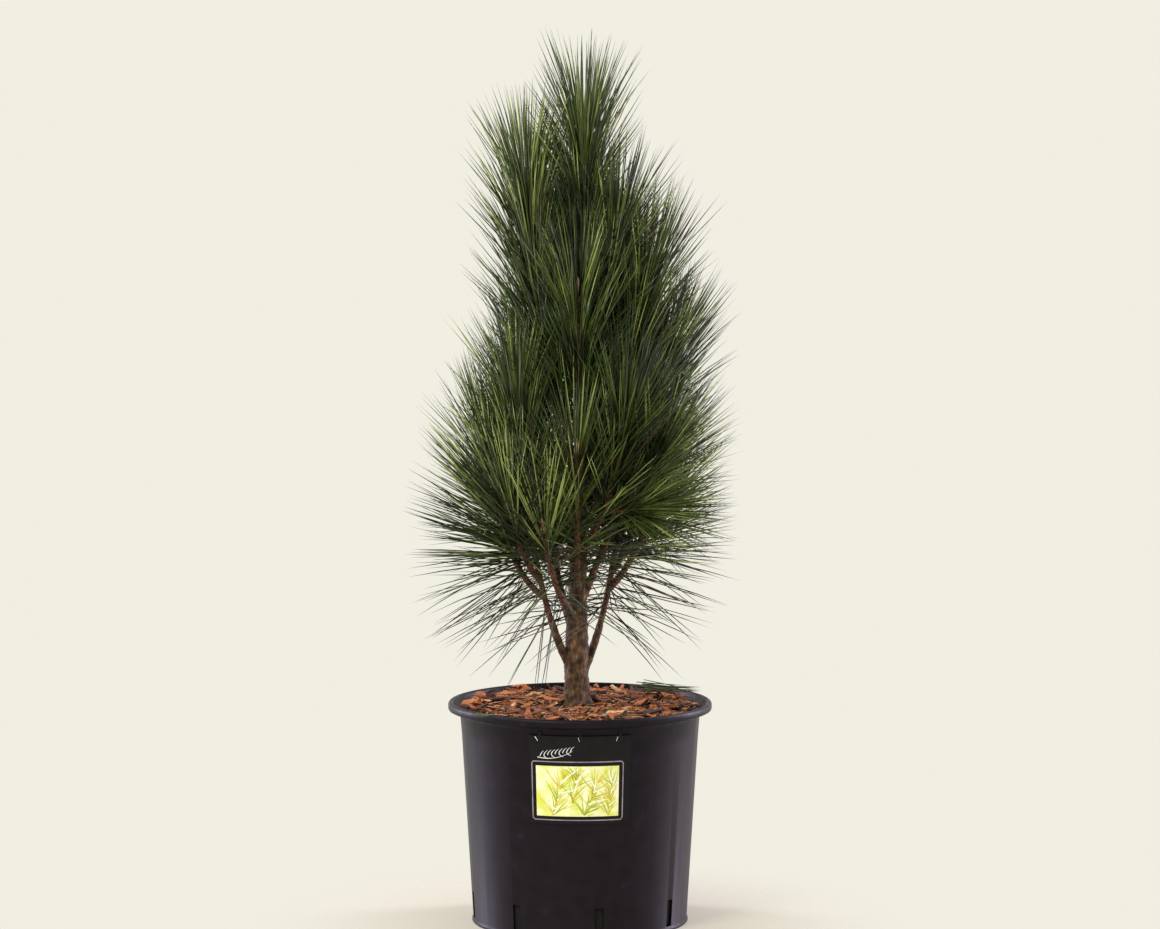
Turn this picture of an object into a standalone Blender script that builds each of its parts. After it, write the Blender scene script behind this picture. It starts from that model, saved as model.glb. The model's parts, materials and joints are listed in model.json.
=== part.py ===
# A young columnar pine in a round nursery pot that carries a hanging label.
# Metres, +Z up. The origin is the centre of the pot's flat underside, and -Y is the side with the label.

import math
import random
from collections import namedtuple

import bmesh
import bpy
import numpy as np
from mathutils import Vector

SEED = 7
GAP = 0.0003
GOLDEN_ANGLE = math.radians(137.508)

# Pot: a thin moulded shell with a flared lip, a bead round the lip and tall drain slots.
POT_HEIGHT = 0.235
POT_WALL = 0.002
POT_FLOOR = 0.0025
BASE_RADIUS = 0.1135
BASE_LIP = 0.0015
BASE_LIP_HEIGHT = 0.003
WALL_TOP_RADIUS = 0.1268
WALL_TOP = 0.222
RIM_RADIUS = 0.140
BEAD_WIDTH = 0.0065
BEAD_HEIGHT = 0.0085
POT_STEPS = 40
SLOT_COUNT = 8
SLOT_FIRST_DEG = -80.0
SLOT_WIDTH = 0.0095
SLOT_BOTTOM = 0.005
SLOT_TOP = 0.0335

# Growing medium: a plug that fills the pot nearly to the lip.
SOIL_LEVEL = 0.2275
SOIL_BUMP = 0.0022
SOIL_RINGS = 5
SOIL_STEPS = 30
SOIL_FLAT_RADIUS = 0.028

# Label: a card that follows the wall, with three tongues that reach up under the bead.
LABEL_WIDTH = 0.109
LABEL_TOP = 0.2165
LABEL_BOTTOM = 0.124
LABEL_THICKNESS = 0.001
LABEL_STEPS = 10
TONGUE_WIDTH = 0.003
TONGUE_TOP = 0.2212
TONGUE_SPREAD = 0.042

# Trunk: from the ground to the bud of the leader, with its radius at heights up the stem.
TRUNK_FOOT = Vector((-0.004, 0.0, SOIL_LEVEL + GAP))
TRUNK_TOP = Vector((0.007, 0.0, 0.838))
TRUNK_BOW = 0.003
TRUNK_GIRTHS = [
    (0.228, 0.0165),
    (0.240, 0.0142),
    (0.262, 0.0130),
    (0.301, 0.0122),
    (0.343, 0.0100),
    (0.450, 0.0070),
    (0.556, 0.0053),
    (0.713, 0.0033),
    (0.838, 0.0026),
]
ROOT_LOBES = 5
ROOT_LOBE_SIZE = 0.14
FLARE_HEIGHT = 0.035
TRUNK_POINTS = 20

# Boughs and shoots. A limb leaves its parent at a height on the trunk, or at a share of another limb's
# length, and ends at its bud. It gains its reach early (sweep) and its height late (lift).
# bare is the length with no needles, which is the bough.
Limb = namedtuple("Limb", "name parent leaves bud bare sweep lift")
LIMBS = [
    Limb("upper_left", "trunk", 0.505, (-0.056, -0.016, 0.784), 0.0, 0.74, 0.18),
    Limb("upper_right", "trunk", 0.592, (0.038, -0.014, 0.733), 0.0, 0.70, 0.25),
    Limb("upper_back", "trunk", 0.560, (-0.012, 0.050, 0.748), 0.0, 0.70, 0.25),
    Limb("upper_front", "trunk", 0.520, (-0.002, -0.052, 0.672), 0.0, 0.70, 0.25),
    Limb("right_shoulder", "trunk", 0.440, (0.070, -0.008, 0.684), 0.0, 0.62, 0.35),
    Limb("right", "trunk", 0.333, (0.092, 0.008, 0.604), 0.046, 0.55, 0.42),
    Limb("right_side", "right", 0.42, (0.084, -0.026, 0.500), 0.0, 0.65, 0.35),
    Limb("left", "trunk", 0.262, (-0.066, -0.024, 0.562), 0.066, 0.75, 0.22),
    Limb("left_outer", "left", 0.30, (-0.092, 0.006, 0.510), 0.0, 0.90, 0.18),
    Limb("left_front", "left", 0.36, (-0.072, -0.052, 0.446), 0.0, 0.72, 0.30),
    Limb("rear_right", "trunk", 0.252, (0.052, 0.056, 0.556), 0.070, 0.82, 0.24),
    Limb("rear_right_outer", "rear_right", 0.34, (0.084, 0.034, 0.462), 0.0, 0.66, 0.34),
    Limb("rear_right_back", "rear_right", 0.40, (0.066, 0.088, 0.440), 0.0, 0.66, 0.34),
    Limb("front", "trunk", 0.352, (-0.003, -0.068, 0.505), 0.030, 0.80, 0.20),
    Limb("front_left", "trunk", 0.322, (-0.038, -0.074, 0.424), 0.034, 0.74, 0.30),
    Limb("front_right", "trunk", 0.392, (0.050, -0.058, 0.546), 0.028, 0.70, 0.30),
    Limb("front_right_low", "front_right", 0.36, (0.068, -0.074, 0.446), 0.0, 0.74, 0.28),
    Limb("back_left", "trunk", 0.300, (-0.052, 0.068, 0.600), 0.056, 0.72, 0.26),
    Limb("back_left_low", "back_left", 0.34, (-0.076, 0.060, 0.446), 0.0, 0.72, 0.30),
    Limb("back_right", "trunk", 0.415, (0.030, 0.080, 0.640), 0.028, 0.66, 0.30),
    Limb("back_low", "trunk", 0.345, (-0.014, 0.092, 0.452), 0.034, 0.72, 0.30),
]
LIMB_POINTS = 7
CAP_RUN = 0.001
BOUGH_RADIUS = 0.0052
STEM_RADIUS = 0.0036
BUD_RADIUS = 0.0024
CORE_RADIUS = 0.0062
CORE_START = 0.020

# Needles round the trunk itself, in sleeves that leave it clear: the height each one starts and ends at.
SLEEVES = [("leader_low", 0.632, 0.734), ("leader_top", 0.738, 0.838)]
SLEEVE_WALL = 0.0040

# Needles: each solid spike stands for a few real needles.
NEEDLE_LENGTH = 0.114
NEEDLE_VARIATION = 0.10
NEEDLE_STEP = 0.0036
NEEDLE_ROOT_RADIUS = 0.0021
NEEDLE_SIDES = 3
NEEDLE_CLEARANCE = 0.0006
SHORTER = (1.0, 0.86, 0.7, 0.52)
BARE_START = 0.010

# Lean of a needle from its shoot, in degrees, by the height of its root: the oldest ones droop.
LEAN_BY_HEIGHT = [(0.30, 120), (0.36, 102), (0.40, 66), (0.44, 38), (0.52, 31), (0.66, 29)]
LEAN_JITTER = 9
TUFT_LENGTH = 0.070
TUFT_LEAN = 18
TUFT_JITTER = 13


def clear_scene():
    for obj in list(bpy.data.objects):
        bpy.data.objects.remove(obj, do_unlink=True)


def make_collection(name):
    collection = bpy.data.collections.new(name)
    bpy.context.scene.collection.children.link(collection)
    return collection


def make_material(name, colour, roughness, metallic=0.0):
    material = bpy.data.materials.new(name)
    material.use_nodes = True
    shader = material.node_tree.nodes["Principled BSDF"]
    shader.inputs["Base Color"].default_value = (*colour, 1.0)
    shader.inputs["Roughness"].default_value = roughness
    shader.inputs["Metallic"].default_value = metallic
    return material


def add_object(name, mesh, collection, material=None):
    obj = bpy.data.objects.new(name, mesh)
    collection.objects.link(obj)
    if material:
        mesh.materials.append(material)
    return obj


def evaluated_mesh(obj):
    # The object's mesh with its modifiers applied, or a curve's tube, with loose caps welded.
    bpy.context.view_layer.update()
    graph = bpy.context.evaluated_depsgraph_get()
    mesh = bpy.data.meshes.new_from_object(obj.evaluated_get(graph))
    shape = bmesh.new()
    shape.from_mesh(mesh)
    bmesh.ops.remove_doubles(shape, verts=shape.verts, dist=1e-6)
    bmesh.ops.recalc_face_normals(shape, faces=shape.faces)
    shape.to_mesh(mesh)
    shape.free()
    return mesh


def as_mesh_object(obj, name, collection, material=None):
    # Swaps the object for one that holds its evaluated mesh.
    mesh = evaluated_mesh(obj)
    mesh.transform(obj.matrix_world)
    bpy.data.objects.remove(obj, do_unlink=True)
    mesh.name = name
    return add_object(name, mesh, collection, material)


def turned(name, profile, steps, collection, material=None):
    # A closed profile from axis to axis, turned round Z.
    mesh = bpy.data.meshes.new(name + "_profile")
    edges = [(i, i + 1) for i in range(len(profile) - 1)]
    mesh.from_pydata([(r, 0.0, z) for r, z in profile], edges, [])
    obj = add_object(name + "_profile", mesh, collection)
    screw = obj.modifiers.new("Turn", "SCREW")
    screw.steps = steps
    screw.render_steps = steps
    screw.use_merge_vertices = True
    screw.merge_threshold = 1e-5
    return as_mesh_object(obj, name, collection, material)


def tube(name, points, radii, resolution, collection, material=None):
    # A tapering tube through the points, with closed ends.
    curve = bpy.data.curves.new(name + "_curve", "CURVE")
    curve.dimensions = "3D"
    curve.bevel_depth = 1.0
    curve.bevel_resolution = resolution
    curve.use_fill_caps = True
    spline = curve.splines.new("POLY")
    spline.points.add(len(points) - 1)
    for spot, point, radius in zip(spline.points, points, radii):
        spot.co = (*point, 1.0)
        spot.radius = radius
    obj = add_object(name + "_curve", curve, collection)
    return as_mesh_object(obj, name, collection, material)


def boolean(obj, operation, other=None, group=None, solver="MANIFOLD"):
    # Applies one Boolean with an object, or with every object of a collection.
    modifier = obj.modifiers.new("Boolean", "BOOLEAN")
    modifier.operation = operation
    modifier.solver = solver
    if group:
        modifier.operand_type = "COLLECTION"
        modifier.collection = group
    else:
        modifier.object = other
    bpy.context.view_layer.update()
    graph = bpy.context.evaluated_depsgraph_get()
    mesh = bpy.data.meshes.new_from_object(obj.evaluated_get(graph))
    obj.modifiers.clear()
    old = obj.data
    obj.data = mesh
    bpy.data.meshes.remove(old)


def drop_scraps(obj):
    # Keeps the largest connected piece of a mesh.
    shape = bmesh.new()
    shape.from_mesh(obj.data)
    unseen = set(shape.verts)
    pieces = []
    while unseen:
        piece = {unseen.pop()}
        edge_of = list(piece)
        while edge_of:
            for edge in edge_of.pop().link_edges:
                for vertex in edge.verts:
                    if vertex not in piece:
                        piece.add(vertex)
                        edge_of.append(vertex)
        unseen -= piece
        pieces.append(piece)
    pieces.sort(key=len)
    for piece in pieces[:-1]:
        bmesh.ops.delete(shape, geom=list(piece), context="VERTS")
    shape.to_mesh(obj.data)
    shape.free()


def make_cutter(name, mesh, cutters):
    obj = add_object(name, mesh, cutters)
    obj.hide_render = True
    obj.display_type = "WIRE"
    return obj


def wall_radius(z):
    # Outer radius of the pot's wall at a height.
    return BASE_RADIUS + (WALL_TOP_RADIUS - BASE_RADIUS) * z / WALL_TOP


def pot_inside():
    # Inner side of the pot, from the floor up to the crest of the bead.
    flare_top = POT_HEIGHT - BEAD_HEIGHT * 0.3
    inner_lip = RIM_RADIUS - BEAD_WIDTH
    return [
        (0.0, POT_FLOOR),
        (wall_radius(POT_FLOOR) - POT_WALL - 0.002, POT_FLOOR),
        (wall_radius(POT_FLOOR + 0.003) - POT_WALL, POT_FLOOR + 0.003),
        (WALL_TOP_RADIUS - POT_WALL, WALL_TOP),
        (WALL_TOP_RADIUS + 0.0005, WALL_TOP + 0.003),
        (inner_lip, flare_top),
        (inner_lip + 0.0010, POT_HEIGHT - 0.0006),
        (inner_lip + 0.0025, POT_HEIGHT),
    ]


def pot_outside():
    # Outer side of the pot, from the crest of the bead down to the centre of the base.
    bead_bottom = POT_HEIGHT - BEAD_HEIGHT
    lip = BASE_RADIUS + BASE_LIP
    return [
        (RIM_RADIUS - 0.0015, POT_HEIGHT - 0.0006),
        (RIM_RADIUS, POT_HEIGHT - 0.0025),
        (RIM_RADIUS, bead_bottom + 0.0020),
        (RIM_RADIUS - 0.0014, bead_bottom),
        (RIM_RADIUS - BEAD_WIDTH, bead_bottom),
        (WALL_TOP_RADIUS, WALL_TOP),
        (wall_radius(BASE_LIP_HEIGHT + 0.001), BASE_LIP_HEIGHT + 0.001),
        (lip, BASE_LIP_HEIGHT),
        (lip, 0.0),
        (0.0, 0.0),
    ]


def build_pot(parts, cutters, material):
    pot = turned("pot", pot_inside() + pot_outside(), POT_STEPS, parts, material)
    slots = bpy.data.collections.new("slot_cutters")
    cutters.children.link(slots)
    depth = 0.016
    for i in range(SLOT_COUNT):
        angle = math.radians(SLOT_FIRST_DEG + i * 360.0 / SLOT_COUNT - 90.0)
        shape = bmesh.new()
        bmesh.ops.create_cube(shape, size=1.0)
        bmesh.ops.scale(shape, verts=shape.verts, vec=(depth, SLOT_WIDTH, SLOT_TOP - SLOT_BOTTOM))
        mesh = bpy.data.meshes.new("slot_cutter")
        shape.to_mesh(mesh)
        shape.free()
        cutter = make_cutter(f"slot_cutter_{i}", mesh, slots)
        cutter.location = (
            BASE_RADIUS * math.cos(angle),
            BASE_RADIUS * math.sin(angle),
            (SLOT_TOP + SLOT_BOTTOM) / 2,
        )
        cutter.rotation_euler = (0.0, 0.0, angle)
    boolean(pot, "DIFFERENCE", group=slots, solver="EXACT")
    for cutter in list(slots.objects):
        bpy.data.objects.remove(cutter, do_unlink=True)
    pot.data.shade_smooth()
    pot.data.set_sharp_from_angle(angle=math.radians(40))
    return pot


def soil_height(x, y):
    # Low mounds of bark, level where the trunk stands.
    wave = math.sin(95 * x + 1.3) * math.cos(80 * y - 0.6)
    wave += 0.6 * math.sin(170 * x - 120 * y + 0.8)
    foot = math.hypot(x - TRUNK_FOOT.x, y - TRUNK_FOOT.y)
    share = min(1.0, max(0.0, (foot - SOIL_FLAT_RADIUS) / 0.02))
    return SOIL_LEVEL + SOIL_BUMP * share * wave / 1.6


def build_soil(parts, material):
    inside = [(r, z) for r, z in pot_inside()[1:] if z < SOIL_LEVEL]
    lip_low, lip_high = pot_inside()[4], pot_inside()[5]
    share = (SOIL_LEVEL - lip_low[1]) / (lip_high[1] - lip_low[1])
    edge = lip_low[0] + share * (lip_high[0] - lip_low[0]) - SOIL_BUMP
    fit = GAP + 0.0003
    rings = [(edge * i / SOIL_RINGS, SOIL_LEVEL) for i in range(SOIL_RINGS)]
    side = [(edge - fit, SOIL_LEVEL)] + [(r - fit, z + fit) for r, z in reversed(inside)]
    profile = rings + side + [(0.0, POT_FLOOR + fit)]
    soil = turned("growing_medium", profile, SOIL_STEPS, parts, material)
    for vertex in soil.data.vertices:
        x, y, z = vertex.co
        if abs(z - SOIL_LEVEL) < 1e-6 and math.hypot(x, y) < edge - 2 * fit:
            vertex.co.z = soil_height(x, y)
    return soil


def build_label(parts, material):
    # The card is a flat grid rolled round the pot's axis, one wall's thickness clear of it.
    shape = bmesh.new()
    bmesh.ops.create_grid(shape, x_segments=LABEL_STEPS, y_segments=1, size=0.5)
    centre = (LABEL_TOP + LABEL_BOTTOM) / 2
    for vertex in shape.verts:
        z = centre + vertex.co.y * (LABEL_TOP - LABEL_BOTTOM)
        radius = wall_radius(z) + 2 * GAP
        angle = vertex.co.x * LABEL_WIDTH / WALL_TOP_RADIUS
        vertex.co = (radius * math.sin(angle), -radius * math.cos(angle), z)
    mesh = bpy.data.meshes.new("label_face")
    shape.to_mesh(mesh)
    shape.free()
    card = add_object("label_face", mesh, parts)
    solid = card.modifiers.new("Thickness", "SOLIDIFY")
    solid.thickness = LABEL_THICKNESS
    solid.offset = 1.0
    label = as_mesh_object(card, "label", parts, material)
    tongues = bpy.data.collections.new("tongues")
    bpy.context.scene.collection.children.link(tongues)
    for side in (-1, 0, 1):
        angle = side * TONGUE_SPREAD / WALL_TOP_RADIUS
        low = LABEL_TOP - 0.004
        radius = wall_radius(TONGUE_TOP) + 2 * GAP + LABEL_THICKNESS * 0.6
        shape = bmesh.new()
        bmesh.ops.create_cube(shape, size=1.0)
        size = (TONGUE_WIDTH, LABEL_THICKNESS * 0.7, TONGUE_TOP - low)
        bmesh.ops.scale(shape, verts=shape.verts, vec=size)
        mesh = bpy.data.meshes.new("tongue")
        shape.to_mesh(mesh)
        shape.free()
        tongue = add_object("tongue", mesh, tongues)
        tongue.location = (radius * math.sin(angle), -radius * math.cos(angle), (TONGUE_TOP + low) / 2)
        tongue.rotation_euler = (0.0, 0.0, angle)
    boolean(label, "UNION", group=tongues)
    remove_group(tongues)
    return label


def remove_group(group):
    for obj in list(group.objects):
        bpy.data.objects.remove(obj, do_unlink=True)
    bpy.data.collections.remove(group)


def trunk_point(z):
    # Centre line of the trunk: upright at the foot, then a slight bow and lean.
    share = max(0.0, (z - TRUNK_FOOT.z) / (TRUNK_TOP.z - TRUNK_FOOT.z))
    lean = share * share * (3 - 2 * share)
    x = TRUNK_FOOT.x + (TRUNK_TOP.x - TRUNK_FOOT.x) * lean + TRUNK_BOW * math.sin(5.2 * share) * share
    y = TRUNK_BOW * math.sin(4.0 * share) * share
    return Vector((x, y, z))


def trunk_radius(z):
    return float(np.interp(z, *zip(*TRUNK_GIRTHS)))


def trunk_heights():
    # Closer together in the root flare, where the outline bends most.
    height = TRUNK_TOP.z - TRUNK_FOOT.z
    return [TRUNK_FOOT.z + height * (i / (TRUNK_POINTS - 1)) ** 1.6 for i in range(TRUNK_POINTS)]


def build_trunk(name, grow, collection, material=None):
    # grow makes the cutter that keeps every other solid clear of the trunk.
    heights = trunk_heights()
    points = [trunk_point(z) for z in heights]
    radii = [trunk_radius(z) + grow for z in heights]
    trunk = tube(name, points, radii, 3, collection, material)
    for vertex in trunk.data.vertices:
        fade = max(0.0, 1 - (vertex.co.z - TRUNK_FOOT.z) / FLARE_HEIGHT)
        dx, dy = vertex.co.x - TRUNK_FOOT.x, vertex.co.y - TRUNK_FOOT.y
        factor = 1 + ROOT_LOBE_SIZE * fade * math.cos(ROOT_LOBES * math.atan2(dy, dx) + 0.7)
        vertex.co.x = TRUNK_FOOT.x + dx * factor
        vertex.co.y = TRUNK_FOOT.y + dy * factor
    return trunk


class Path:
    # A limb's centre line: one smooth bend from its start to its bud, measured along its length.
    def __init__(self, start, bud, sweep, lift):
        self.start = start
        self.bud = bud
        across = Vector((bud.x - start.x, bud.y - start.y, 0.0))
        self.bend = start + across * sweep + Vector((0, 0, (bud.z - start.z) * lift))
        steps = 60
        raw = [self.bezier(i / steps) for i in range(steps + 1)]
        self.lengths = [0.0]
        for a, b in zip(raw, raw[1:]):
            self.lengths.append(self.lengths[-1] + (b - a).length)
        self.raw = raw
        self.length = self.lengths[-1]

    def bezier(self, t):
        return self.start * (1 - t) ** 2 + self.bend * (2 * t * (1 - t)) + self.bud * t * t

    def at(self, distance):
        i = int(np.searchsorted(self.lengths, distance)) - 1
        i = min(max(i, 0), len(self.raw) - 2)
        share = (distance - self.lengths[i]) / (self.lengths[i + 1] - self.lengths[i])
        return self.raw[i].lerp(self.raw[i + 1], share)

    def direction(self, distance):
        step = 0.002
        return (self.at(distance + step) - self.at(distance - step)).normalized()

    def stretch(self, first, last, count):
        # Points from first to last, with one more just inside each end that sets the end caps square.
        spots = [first + (last - first) * i / (count - 1) for i in range(count)]
        spots[1:1] = [first + CAP_RUN]
        spots[-1:-1] = [last - CAP_RUN]
        return [self.at(spot) for spot in spots], [(spot - first) / (last - first) for spot in spots]


def limb_paths():
    paths = {}
    for limb in LIMBS:
        if limb.parent == "trunk":
            start = trunk_point(limb.leaves)
        else:
            parent = paths[limb.parent]
            start = parent.at(parent.length * limb.leaves)
        paths[limb.name] = Path(start, Vector(limb.bud), limb.sweep, limb.lift)
    return paths


def gap_to(a0, a1, ra, b0, b1, rb):
    # Least clear space between one tapering needle and many: ra and rb hold root and tip radii.
    u, v, w = a1 - a0, b1 - b0, a0 - b0
    uu = u @ u
    uv, vv = v @ u, np.einsum("ij,ij->i", v, v)
    uw, vw = w @ u, np.einsum("ij,ij->i", v, w)
    s = np.clip((uv * vw - vv * uw) / np.maximum(uu * vv - uv * uv, 1e-15), 0, 1)
    t = np.clip((uv * s + vw) / vv, 0, 1)
    s = np.clip((uv * t - uw) / uu, 0, 1)
    apart = np.linalg.norm(w + s[:, None] * u - t[:, None] * v, axis=1)
    thick = ra[0] + (ra[1] - ra[0]) * s + rb[:, 0] + (rb[:, 1] - rb[:, 0]) * t
    return float((apart - thick).min())


class Space:
    # What is already grown, as tapering segments, each with the name of the mass that it belongs to.
    def __init__(self):
        self.rows = []
        self.owners = []

    def add(self, owner, a, b, ra, rb):
        self.rows.append((*a, *b, ra, rb))
        self.owners.append(owner)

    def add_chain(self, owner, points, radius):
        for a, b in zip(points, points[1:]):
            self.add(owner, a, b, radius(a), radius(b))

    def clear_of(self, owners, root, tip, radii):
        keep = np.array([name not in owners for name in self.owners])
        rows = np.array(self.rows)[keep]
        gap = gap_to(np.array(root), np.array(tip), radii, rows[:, :3], rows[:, 3:6], rows[:, 6:8])
        return gap > NEEDLE_CLEARANCE


def clear_of_pot(tip):
    return tip.z > POT_HEIGHT + 0.004


def needle_spike(root, tip, group):
    along = tip - root
    shape = bmesh.new()
    bmesh.ops.create_cone(
        shape,
        cap_ends=True,
        segments=NEEDLE_SIDES,
        radius1=NEEDLE_ROOT_RADIUS,
        radius2=0.0,
        depth=along.length,
    )
    mesh = bpy.data.meshes.new("needle")
    shape.to_mesh(mesh)
    shape.free()
    obj = add_object("needle", mesh, group)
    obj.location = (root + tip) / 2
    obj.rotation_mode = "QUATERNION"
    obj.rotation_quaternion = along.to_track_quat("Z", "Y")
    return obj


def needle_lean(height, left, rng):
    # The angle between a needle and its shoot: less in the tuft at the bud than on the old wood.
    old = float(np.interp(height, *zip(*LEAN_BY_HEIGHT)))
    share = max(0.0, 1 - left / TUFT_LENGTH)
    lean = old + (TUFT_LEAN - old) * share
    jitter = LEAN_JITTER + (TUFT_JITTER - LEAN_JITTER) * share
    return math.radians(max(2.0, lean + rng.uniform(-jitter, jitter)))


def grow_needles(owners, centre, direction, first, last, space, rng, group):
    # Needles in a spiral up a stem, each shortened or left out where another thing is in its way.
    # owners names the mass they belong to, then anything else that they may touch.
    count = max(4, int((last - first) / NEEDLE_STEP))
    turn = rng.uniform(0, 2 * math.pi)
    for i in range(count):
        distance = first + (last - first) * (i + 0.5) / count
        root = centre(distance)
        axis = direction(distance)
        side = axis.cross(Vector((0.3, 1.0, 0.1))).normalized()
        angle = turn + i * GOLDEN_ANGLE
        out = side * math.cos(angle) + axis.cross(side) * math.sin(angle)
        lean = needle_lean(root.z, last - distance, rng)
        heading = axis * math.cos(lean) + out * math.sin(lean)
        length = NEEDLE_LENGTH * (1 + rng.uniform(-NEEDLE_VARIATION, NEEDLE_VARIATION))
        for shorter in SHORTER:
            tip = root + heading * length * shorter
            radii = (NEEDLE_ROOT_RADIUS, 0.0)
            if clear_of_pot(tip) and space.clear_of(owners, root, tip, radii):
                needle_spike(root, tip, group)
                space.add(owners[0], root, tip, *radii)
                break


def mass_of(limb):
    # The limb on the trunk that a shoot belongs to.
    by_name = {entry.name: entry for entry in LIMBS}
    while limb.parent != "trunk":
        limb = by_name[limb.parent]
    return limb.name


def stem_radius(share):
    return STEM_RADIUS + (BUD_RADIUS - STEM_RADIUS) * share


def core_radius(length, share):
    # Thin where the stem starts, then as thick as the close-set needle roots, and thin at the bud.
    rise = min(1.0, max(0.0, (length * share - CORE_START * 0.4) / CORE_START))
    fall = min(1.0, length * (1 - share) / CORE_START)
    thin = stem_radius(share)
    return thin + (CORE_RADIUS - thin) * rise * fall


def reserve_limbs(paths, space):
    # Books the trunk, the boughs and every stem before any needle is grown.
    trunk = [trunk_point(z) for z in trunk_heights()]
    space.add_chain("trunk", trunk, lambda p: trunk_radius(max(p.z, TRUNK_FOOT.z)) + GAP)
    for limb in LIMBS:
        path = paths[limb.name]
        owner = mass_of(limb)
        if limb.bare:
            bough = path.stretch(0.012, limb.bare, 4)[0]
            space.add_chain(owner + "_bough", bough, lambda p: BOUGH_RADIUS + GAP)
        stem = path.stretch(max(limb.bare, 0.014), path.length, 8)[0]
        space.add_chain(owner, stem, lambda p: CORE_RADIUS + GAP)
    for name, low, high in SLEEVES:
        sleeve = [trunk_point(low), trunk_point((low + high) / 2), trunk_point(high)]
        space.add_chain(name, sleeve, lambda p: trunk_radius(p.z) + SLEEVE_WALL + GAP)
    space.add_chain("pot", rim_ring(), lambda p: BEAD_WIDTH)


def rim_ring():
    middle = RIM_RADIUS - BEAD_WIDTH / 2
    turns = [2 * math.pi * i / 24 for i in range(25)]
    return [Vector((middle * math.cos(a), middle * math.sin(a), POT_HEIGHT - 0.004)) for a in turns]


def build_bough(limb, path, trunk_cutter, parts, material):
    points, shares = path.stretch(0.0, limb.bare, 4)
    radii = [BOUGH_RADIUS + (STEM_RADIUS - BOUGH_RADIUS) * share for share in shares]
    bough = tube(limb.name + "_bough", points, radii, 2, parts, material)
    boolean(bough, "DIFFERENCE", other=trunk_cutter)
    return bough


def build_mass(limb, paths, trunk_cutter, space, rng, parts, material):
    # The mass's own stem and its side shoots, with their needles, as one solid.
    group = bpy.data.collections.new("sprays")
    bpy.context.scene.collection.children.link(group)
    core = None
    members = [entry for entry in LIMBS if mass_of(entry) == limb.name]
    for member in members:
        path = paths[member.name]
        first = member.bare + GAP if member.bare else 0.0
        points, shares = path.stretch(first, path.length, LIMB_POINTS)
        radii = [core_radius(path.length - first, share) for share in shares]
        own = parts if core is None else group
        stem = tube(f"{member.name}_needles", points, radii, 1, own, material if core is None else None)
        core = core or stem
        needles_from = max(first, 0.008) + BARE_START
        grow_needles([limb.name], path.at, path.direction, needles_from, path.length, space, rng, group)
    boolean(core, "UNION", group=group)
    remove_group(group)
    if not limb.bare:
        boolean(core, "DIFFERENCE", other=trunk_cutter)
    drop_scraps(core)
    return core


def build_sleeve(entry, trunk_cutter, space, rng, parts, material):
    # Needles that grow on the trunk itself stand out of a thin sleeve round it.
    name, low, high = entry
    group = bpy.data.collections.new("sprays")
    bpy.context.scene.collection.children.link(group)
    heights = [z for z in trunk_heights() if low < z < high]
    cap = 0.004 if high >= TRUNK_TOP.z else 0.0
    heights = [low] + heights + ([high, high + cap] if cap else [high])
    points = [trunk_point(z) for z in heights]
    radii = [trunk_radius(min(z, TRUNK_TOP.z)) + SLEEVE_WALL for z in heights]
    radii[0] -= SLEEVE_WALL * 0.6
    if cap:
        radii[-1] = BUD_RADIUS
    core = tube(f"{name}_needles", points, radii, 2, parts, material)

    def upward(z):
        return (trunk_point(z + 0.002) - trunk_point(z - 0.002)).normalized()

    owners = [name, "trunk"]
    grow_needles(owners, trunk_point, upward, low + 0.006, high, space, rng, group)
    boolean(core, "UNION", group=group)
    remove_group(group)
    boolean(core, "DIFFERENCE", other=trunk_cutter)
    drop_scraps(core)
    return core


def main():
    clear_scene()
    parts = make_collection("potted_columnar_pine")
    cutters = make_collection("cutters")
    cutters.hide_render = True
    plastic = make_material("black_plastic", (0.020, 0.018, 0.020), 0.42)
    mulch = make_material("bark_mulch", (0.20, 0.085, 0.035), 0.95)
    card = make_material("printed_card", (0.016, 0.014, 0.016), 0.40)
    bark = make_material("pine_bark", (0.13, 0.080, 0.050), 0.90)
    green = make_material("pine_needles", (0.060, 0.100, 0.030), 0.55)
    rng = random.Random(SEED)

    build_pot(parts, cutters, plastic)
    build_soil(parts, mulch)
    build_label(parts, card)
    build_trunk("trunk", 0.0, parts, bark)
    trunk_cutter = build_trunk("trunk_clearance", 0.0004, cutters)
    trunk_cutter.hide_render = True
    trunk_cutter.display_type = "WIRE"

    space = Space()
    paths = limb_paths()
    reserve_limbs(paths, space)
    for entry in SLEEVES:
        build_sleeve(entry, trunk_cutter, space, rng, parts, green)
    for limb in LIMBS:
        if limb.bare:
            build_bough(limb, paths[limb.name], trunk_cutter, parts, bark)
        if limb.parent == "trunk":
            build_mass(limb, paths, trunk_cutter, space, rng, parts, green)
    bpy.data.objects.remove(trunk_cutter, do_unlink=True)


main()
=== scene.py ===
# Looks for a young columnar pine in a nursery pot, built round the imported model.
import json
import math
import random
from collections import namedtuple

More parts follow.
